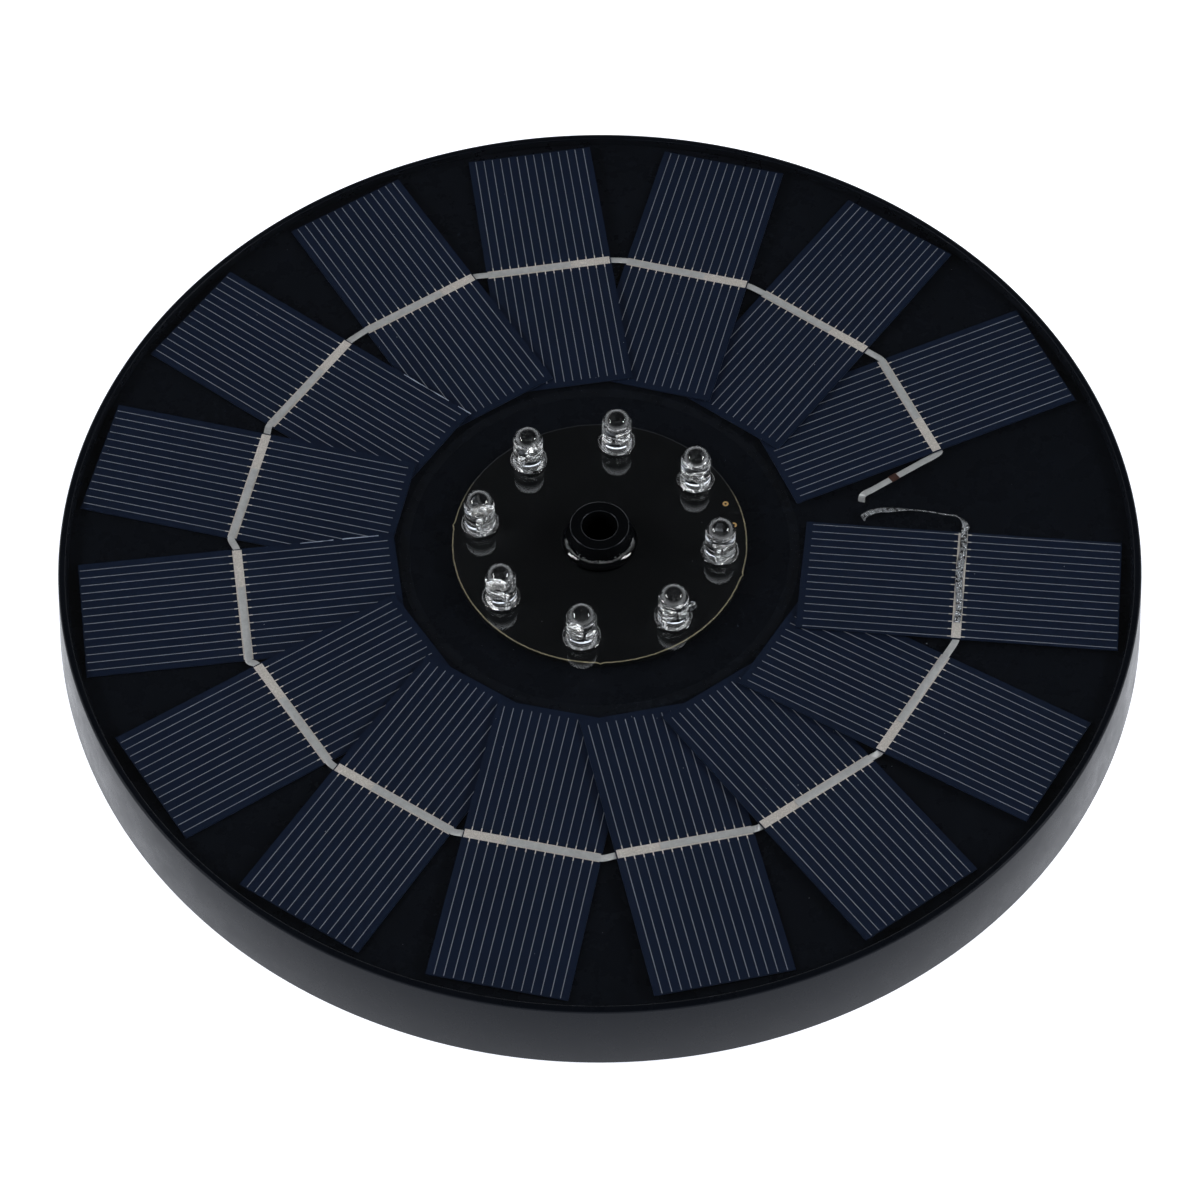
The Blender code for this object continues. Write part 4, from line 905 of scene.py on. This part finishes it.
# casting resin, poured and cured: a clear level mirror over everything that it covers
resin_look, tree, shader, place = new_look("clear_casting_resin")
shader.inputs["Base Color"].default_value = linear("#eef2f6")
shader.inputs["Transmission Weight"].default_value = 1.0
shader.inputs["IOR"].default_value = 1.5
cure = put(tree, "ShaderNodeTexNoise", {"Vector": place, "Scale": per_mm(18.0), "Detail": 2.0})
rough = put(tree, "ShaderNodeMapRange", {"Value": cure.outputs["Fac"], "To Min": 0.0, "To Max": 0.02})
tree.links.new(rough.outputs[0], shader.inputs["Roughness"])
rays = put(tree, "ShaderNodeLightPath")
open_way = put(tree, "ShaderNodeBsdfTransparent", {"Color": linear("#eef2f6")})
lets_light_in = put(
    tree, "ShaderNodeMixShader", {
        0: rays.outputs["Is Shadow Ray"], 1: shader.outputs[0], 2: open_way.outputs[0]
    }
)
tree.links.new(lets_light_in.outputs[0], tree.nodes["Material Output"].inputs["Surface"])

def circle_of(points, edges, centre, radius, count):
    """Adds a circle's points, and the edges that the surface must keep along it."""
    first = len(points)
    for k in range(count):
        a = math.tau * k / count
        points.append(Vector((centre[0] + radius * math.cos(a), centre[1] + radius * math.sin(a))))
        edges.append((first + k, first + (k + 1) % count))


spread, kept = [], []
for radius, _ in MOAT:
    circle_of(spread, kept, (0, 0), radius / 1000, 96)
for radius in (0.0095, 0.0125, 0.0155, 0.0245, 0.0270):
    circle_of(spread, kept, (0, 0), radius, 96)
for radius in (
    0.0300, 0.0340, 0.0400, 0.0480, 0.0560, 0.0640, 0.0720, 0.0790, 0.0835, 0.0860, 0.0870, 0.0874
):
    circle_of(spread, kept, (0, 0), radius, 192)
# the resin sits a hair into the shell and the tube, as a cast piece grips what it is poured against
circle_of(spread, kept, (0, 0), DISH_R + 0.00003, 192)
for spot in led_spots:
    for radius in (2.91, 2.96, 3.03, 3.12, 3.25, 3.45, 3.8, 4.3):
        circle_of(spread, kept, spot, radius / 1000, 40)
spread, _, triangles = geometry.delaunay_2d_cdt(spread, kept, [], 0, 1e-7)[:3]
bm = bmesh.new()
top = [bm.verts.new((p.x, p.y, resin_height(p.x, p.y))) for p in spread]
low = [bm.verts.new((p.x, p.y, floor_z(p.length) - 0.00003)) for p in spread]
for corners in triangles:
    middle = sum((spread[i] for i in corners), Vector((0, 0))) / 3
    if middle.length > MOAT[0][0] / 1000 and min((middle - spot).length for spot in led_spots) > LED_FLANGE_R:
        bm.faces.new([top[i] for i in corners])
        bm.faces.new([low[i] for i in reversed(corners)])
below = dict(zip(top, low))
for edge in [e for e in bm.edges if e.is_boundary and e.verts[0] in below]:
    a, b = edge.verts
    bm.faces.new((a, b, below[b], below[a]))
bmesh.ops.delete(bm, geom=[v for v in bm.verts if not v.link_faces], context="VERTS")
bmesh.ops.recalc_face_normals(bm, faces=bm.faces)
piece("resin", bm, resin_look, stands_for=["resin_fill"], smooth_below=60)

# A crumb of cured resin that broke off and set fast beside one LED, irregular and bright at its corners.
crumb = bmesh.new()
bmesh.ops.create_icosphere(crumb, subdivisions=2, radius=0.0006)
for vert in crumb.verts:
    vert.co *= 1.0 + 0.55 * noise.noise(vert.co * per_mm(0.7))
    vert.co.x *= 1.25
bmesh.ops.translate(crumb, verts=crumb.verts, vec=(0.0150, -0.0140, RESIN_Z + 0.00045))
piece("resin_crumb", crumb, epoxy_look, smooth_below=20)

# ---------------------------------------------------------------- dust and painted edge glints
# Fine pale dust that settled on the tacky resin, and thin bright bluish strips along two cells' lapping
# edges:
# painted highlights that stand in for glints of light along those edges.
# household dust: dry pale grey specks
dust_look, tree, shader, place = new_look("settled_dust")
clump = put(tree, "ShaderNodeTexNoise", {"Vector": place, "Scale": per_mm(0.1)})
tint = put(
    tree, "ShaderNodeMix", {0: clump.outputs["Fac"], 6: linear("#8d929b"), 7: linear("#d5dae2")},
    data_type="RGBA"
)
tree.links.new(tint.outputs[2], shader.inputs["Base Color"])
shader.inputs["Roughness"].default_value = 0.9
chance = random.Random(7)
specks = []
for _ in range(70):
    away, turn = math.sqrt(chance.uniform(0.012, 0.93)) * DISH_R, chance.uniform(0, math.tau)
    x, y = away * math.cos(turn), away * math.sin(turn)
    if min(math.hypot(x - s.x, y - s.y) for s in led_spots) < 0.0035:
        continue
    speck = bmesh.new()
    bmesh.ops.create_icosphere(speck, subdivisions=1, radius=chance.uniform(0.00002, 0.00006))
    specks.append((speck, Matrix.Translation((x, y, resin_height(x, y)))))
piece("dust", joined(specks), dust_look)

# painted highlight: a thin bright bluish line along a cell's edge, standing in for a glint of light there
edge_glint_look, tree, shader, place = new_look("edge_glint_paint")
glint_mottle = put(tree, "ShaderNodeTexNoise", {"Vector": place, "Scale": per_mm(1.2), "Detail": 3.0})
tint = put(
    tree, "ShaderNodeMix", {0: glint_mottle.outputs["Fac"], 6: linear("#4d5a72"), 7: linear("#dfe8f8")},
    data_type="RGBA"
)
tree.links.new(tint.outputs[2], shader.inputs["Base Color"])
shader.inputs["Roughness"].default_value = 0.3
# painted glints along the lapping edges of cells 10 and 8
for name, index, runs in (
    ("painted_glint_10", 9, ((-0.0262, -0.0235), (-0.0215, -0.0120))), (
        "painted_glint_08", 7, ((-0.0235, -0.0175), (-0.0160, -0.0105))
    ),
):
    glint_strips = []
    for start, end in runs:
        run = [
            on_cell(index, start + (end - start) * k / 12, -CELL_W / 2 + 0.00008, 0.00002)
            for k in range(13)
        ]
        glint_strips.append((strip(run, [0.0] * 13, 0.00014, 0.00004, 1.0, index), Matrix.Identity(4)))
    piece(name, joined(glint_strips), edge_glint_look)

# ---------------------------------------------------------------- cover and pump
# The bonded cover, and the little pump below it: body, volute lid, slotted intake cover and rear cap, all
# moulded in plain black ABS with the slightly broken corners that a mould leaves.


def softened(name, node, look, body="fountain", width=0.0003, angle=35):
    """A copy of a CAD solid with its corners broken, as a mould leaves them, in the solid's place."""
    bm = bmesh.new()
    bm.from_mesh(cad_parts[node].data)
    bmesh.ops.remove_doubles(bm, verts=bm.verts, dist=2e-6)
    bmesh.ops.dissolve_limit(bm, angle_limit=math.radians(1.0), verts=bm.verts, edges=bm.edges)
    obj = piece(name, bm, look, body=body, stands_for=[node], smooth_below=angle)
    rounding = obj.modifiers.new("broken_corners", "BEVEL")
    rounding.width = width
    rounding.segments = 2
    rounding.limit_method = "ANGLE"
    rounding.angle_limit = math.radians(angle)
    rounding.use_clamp_overlap = True
    rounding.harden_normals = True
    return obj


# black ABS from an etched tool: an even satin that hides scuffs
pump_black = moulded("satin_black_abs", "#17181b", "#1f2024", 0.38, 0.30, 0.0016, wave_mm=9.0)
softened("closing_cover", "bottom_cover", pump_black, width=0.0002)
softened("pump_case", "pump_body", pump_black)
softened("lid_of_volute", "volute_lid", pump_black, width=0.00015)
softened("intake_hood", "intake_cover", pump_black, body="intake", width=0.00025)
softened("motor_end_plate", "rear_cap", pump_black)

# The intake's open-cell sponge, the white acetal impeller on its ferrite magnet and ceramic shaft, and the
# motor's winding, laminations, rubber bush, seal and lead, all inside the pump.
# open-cell sponge: rough, dark and full of holes
dress(speckled("open_cell_sponge", "#0c0d0e", "#2a2c2f", 0.9, 0.95, 0.5), "filter_sponge")
# acetal, moulded: warm white with a waxy shine
acetal_look = moulded("white_acetal", "#dcdcd7", "#e8e8e4", 0.4, 0.3, 0.001)
softened("impeller_moulding", "impeller", acetal_look, body="rotor", width=0.00012)
# ferrite, sintered and ground: dull dark grey
dress(speckled("sintered_ferrite", "#28292b", "#3a3a3c", 0.5, 0.55, 0.01), "rotor_magnet")
# alumina ceramic, ground and polished: smooth cream white
dress(speckled("polished_ceramic", "#dcdad2", "#efede6", 0.7, 0.15, 0.002), "impeller_shaft")
# nitrile rubber, moulded: matt black
dress(speckled("nitrile_rubber", "#111112", "#1c1c1d", 0.4, 0.7, 0.01), "rear_bush", "spout_seal")
# soft PVC, extruded: black with a slight sheen
dress(speckled("soft_pvc", "#131314", "#1d1d1f", 0.6, 0.5, 0.01), "motor_lead")

# silicon steel sheets, punched and stacked: grey edges in fine parallel lines
stack_look, tree, shader, place = new_look("stacked_laminations")
sheets = put(
    tree, "ShaderNodeTexWave", {"Vector": place, "Scale": per_mm(1.6), "Distortion": 0.4},
    bands_direction="Y"
)
tint = put(
    tree, "ShaderNodeMix", {0: sheets.outputs["Fac"], 6: linear("#4a4b4e"), 7: linear("#85878b")},
    data_type="RGBA"
)
tree.links.new(tint.outputs[2], shader.inputs["Base Color"])
shader.inputs["Metallic"].default_value = 1.0
shader.inputs["Roughness"].default_value = 0.4
dress(stack_look, "stator_core")

# enamelled copper wire, wound in layers: amber bands painted lighter on the raised ridges and darker in the
# grooves, a painted highlight and painted shade
wire_look, tree, shader, place = new_look("enamelled_copper_winding")
layers = put(
    tree, "ShaderNodeTexWave", {"Vector": place, "Scale": per_mm(0.9), "Distortion": 0.8},
    bands_direction="Z"
)
# the tone follows the same bands as the bump: painted highlight on the ridges, painted shade in the grooves
tint = put(
    tree, "ShaderNodeMix", {0: layers.outputs["Fac"], 6: linear("#5a2a12"), 7: linear("#b8662f")},
    data_type="RGBA"
)
tree.links.new(tint.outputs[2], shader.inputs["Base Color"])
turns_bump = put(
    tree, "ShaderNodeBump", {"Height": layers.outputs["Fac"], "Distance": 0.0002, "Strength": 0.8}
)
tree.links.new(turns_bump.outputs[0], shader.inputs["Normal"])
shader.inputs["Metallic"].default_value = 1.0
shader.inputs["Roughness"].default_value = 0.35
dress(wire_look, "stator_coil")

# ---------------------------------------------------------------- studio
# A pale floor that glows a little, as a light table does, two long soft boxes to the left and right, and
# dark air above, so that the resin stays black from where the camera looks.
FLOOR_HALF = 3.0
bm = bmesh.new()
bmesh.ops.create_circle(bm, cap_ends=True, segments=96, radius=FLOOR_HALF)
floor_mesh = bpy.data.meshes.new("studio_floor")
bm.to_mesh(floor_mesh)
bm.free()
floor = bpy.data.objects.new("studio_floor", floor_mesh)
bpy.context.scene.collection.objects.link(floor)
# translucent white acrylic lit from below: even, bright, and without any gloss
floor_look, tree, shader, place = new_look("pale_light_table")
shader.inputs["Base Color"].default_value = linear("#e6e6e6")
shader.inputs["Roughness"].default_value = 0.8
shader.inputs["Specular IOR Level"].default_value = 0.0
shader.inputs["Emission Color"].default_value = (0.93, 0.96, 1.04, 1.0)
shader.inputs["Emission Strength"].default_value = 0.92
floor_mesh.materials.append(floor_look)

world = bpy.data.worlds.new("studio_air")
bpy.context.scene.world = world
world.use_nodes = True
tree = world.node_tree
around = put(tree, "ShaderNodeTexCoord")
height = put(tree, "ShaderNodeSeparateXYZ", {"Vector": around.outputs["Generated"]})
fade = put(
    tree, "ShaderNodeMapRange",
    {"Value": height.outputs["Z"], "From Min": 0.10, "From Max": 0.58, "To Min": 2.1, "To Max": 0.035},
    interpolation_type="SMOOTHSTEP",
)
tree.links.new(fade.outputs[0], tree.nodes["Background"].inputs["Strength"])
tree.nodes["Background"].inputs["Color"].default_value = (0.94, 0.97, 1.0, 1.0)


def soft_box(name, at, aim, wide, tall, watts):
    lamp = bpy.data.lights.new(name, "AREA")
    lamp.shape = "RECTANGLE"
    lamp.size = wide
    lamp.size_y = tall
    lamp.energy = watts
    obj = bpy.data.objects.new(name, lamp)
    obj.location = at
    obj.rotation_euler = (Vector(aim) - Vector(at)).to_track_quat("-Z", "Y").to_euler()
    bpy.context.scene.collection.objects.link(obj)


middle = (0.0, 0.0, 0.035)
soft_box("soft_box_left", (-0.72, -0.08, 0.58), middle, 0.42, 0.10, 2.3)
soft_box("soft_box_right", (0.72, -0.08, 0.58), middle, 0.42, 0.10, 2.3)

# the camera looks down at 54 degrees from the front, from a little over half a metre
CAMERA_AWAY = 0.5431
CAMERA_RISE = math.radians(53.79)
CAMERA_ROLL = math.radians(-0.351)
AIM_DROP = math.atan(68.1 / 3293.5)
rim_centre = Vector((0.0, 0.0, RIM_Z))
eye = rim_centre + CAMERA_AWAY * Vector((0.0, -math.cos(CAMERA_RISE), math.sin(CAMERA_RISE)))
lens = bpy.data.cameras.new("studio_camera")
lens.sensor_width = 36.0
lens.lens = 98.8
camera = bpy.data.objects.new("studio_camera", lens)
camera.matrix_world = (
    Matrix.Translation(eye)
    @ Matrix.Rotation(math.pi / 2 - CAMERA_RISE - AIM_DROP, 4, "X")
    @ Matrix.Rotation(CAMERA_ROLL, 4, "Z")
)
bpy.context.scene.collection.objects.link(camera)
bpy.context.scene.camera = camera
bpy.context.scene.view_settings.view_transform = "Standard"
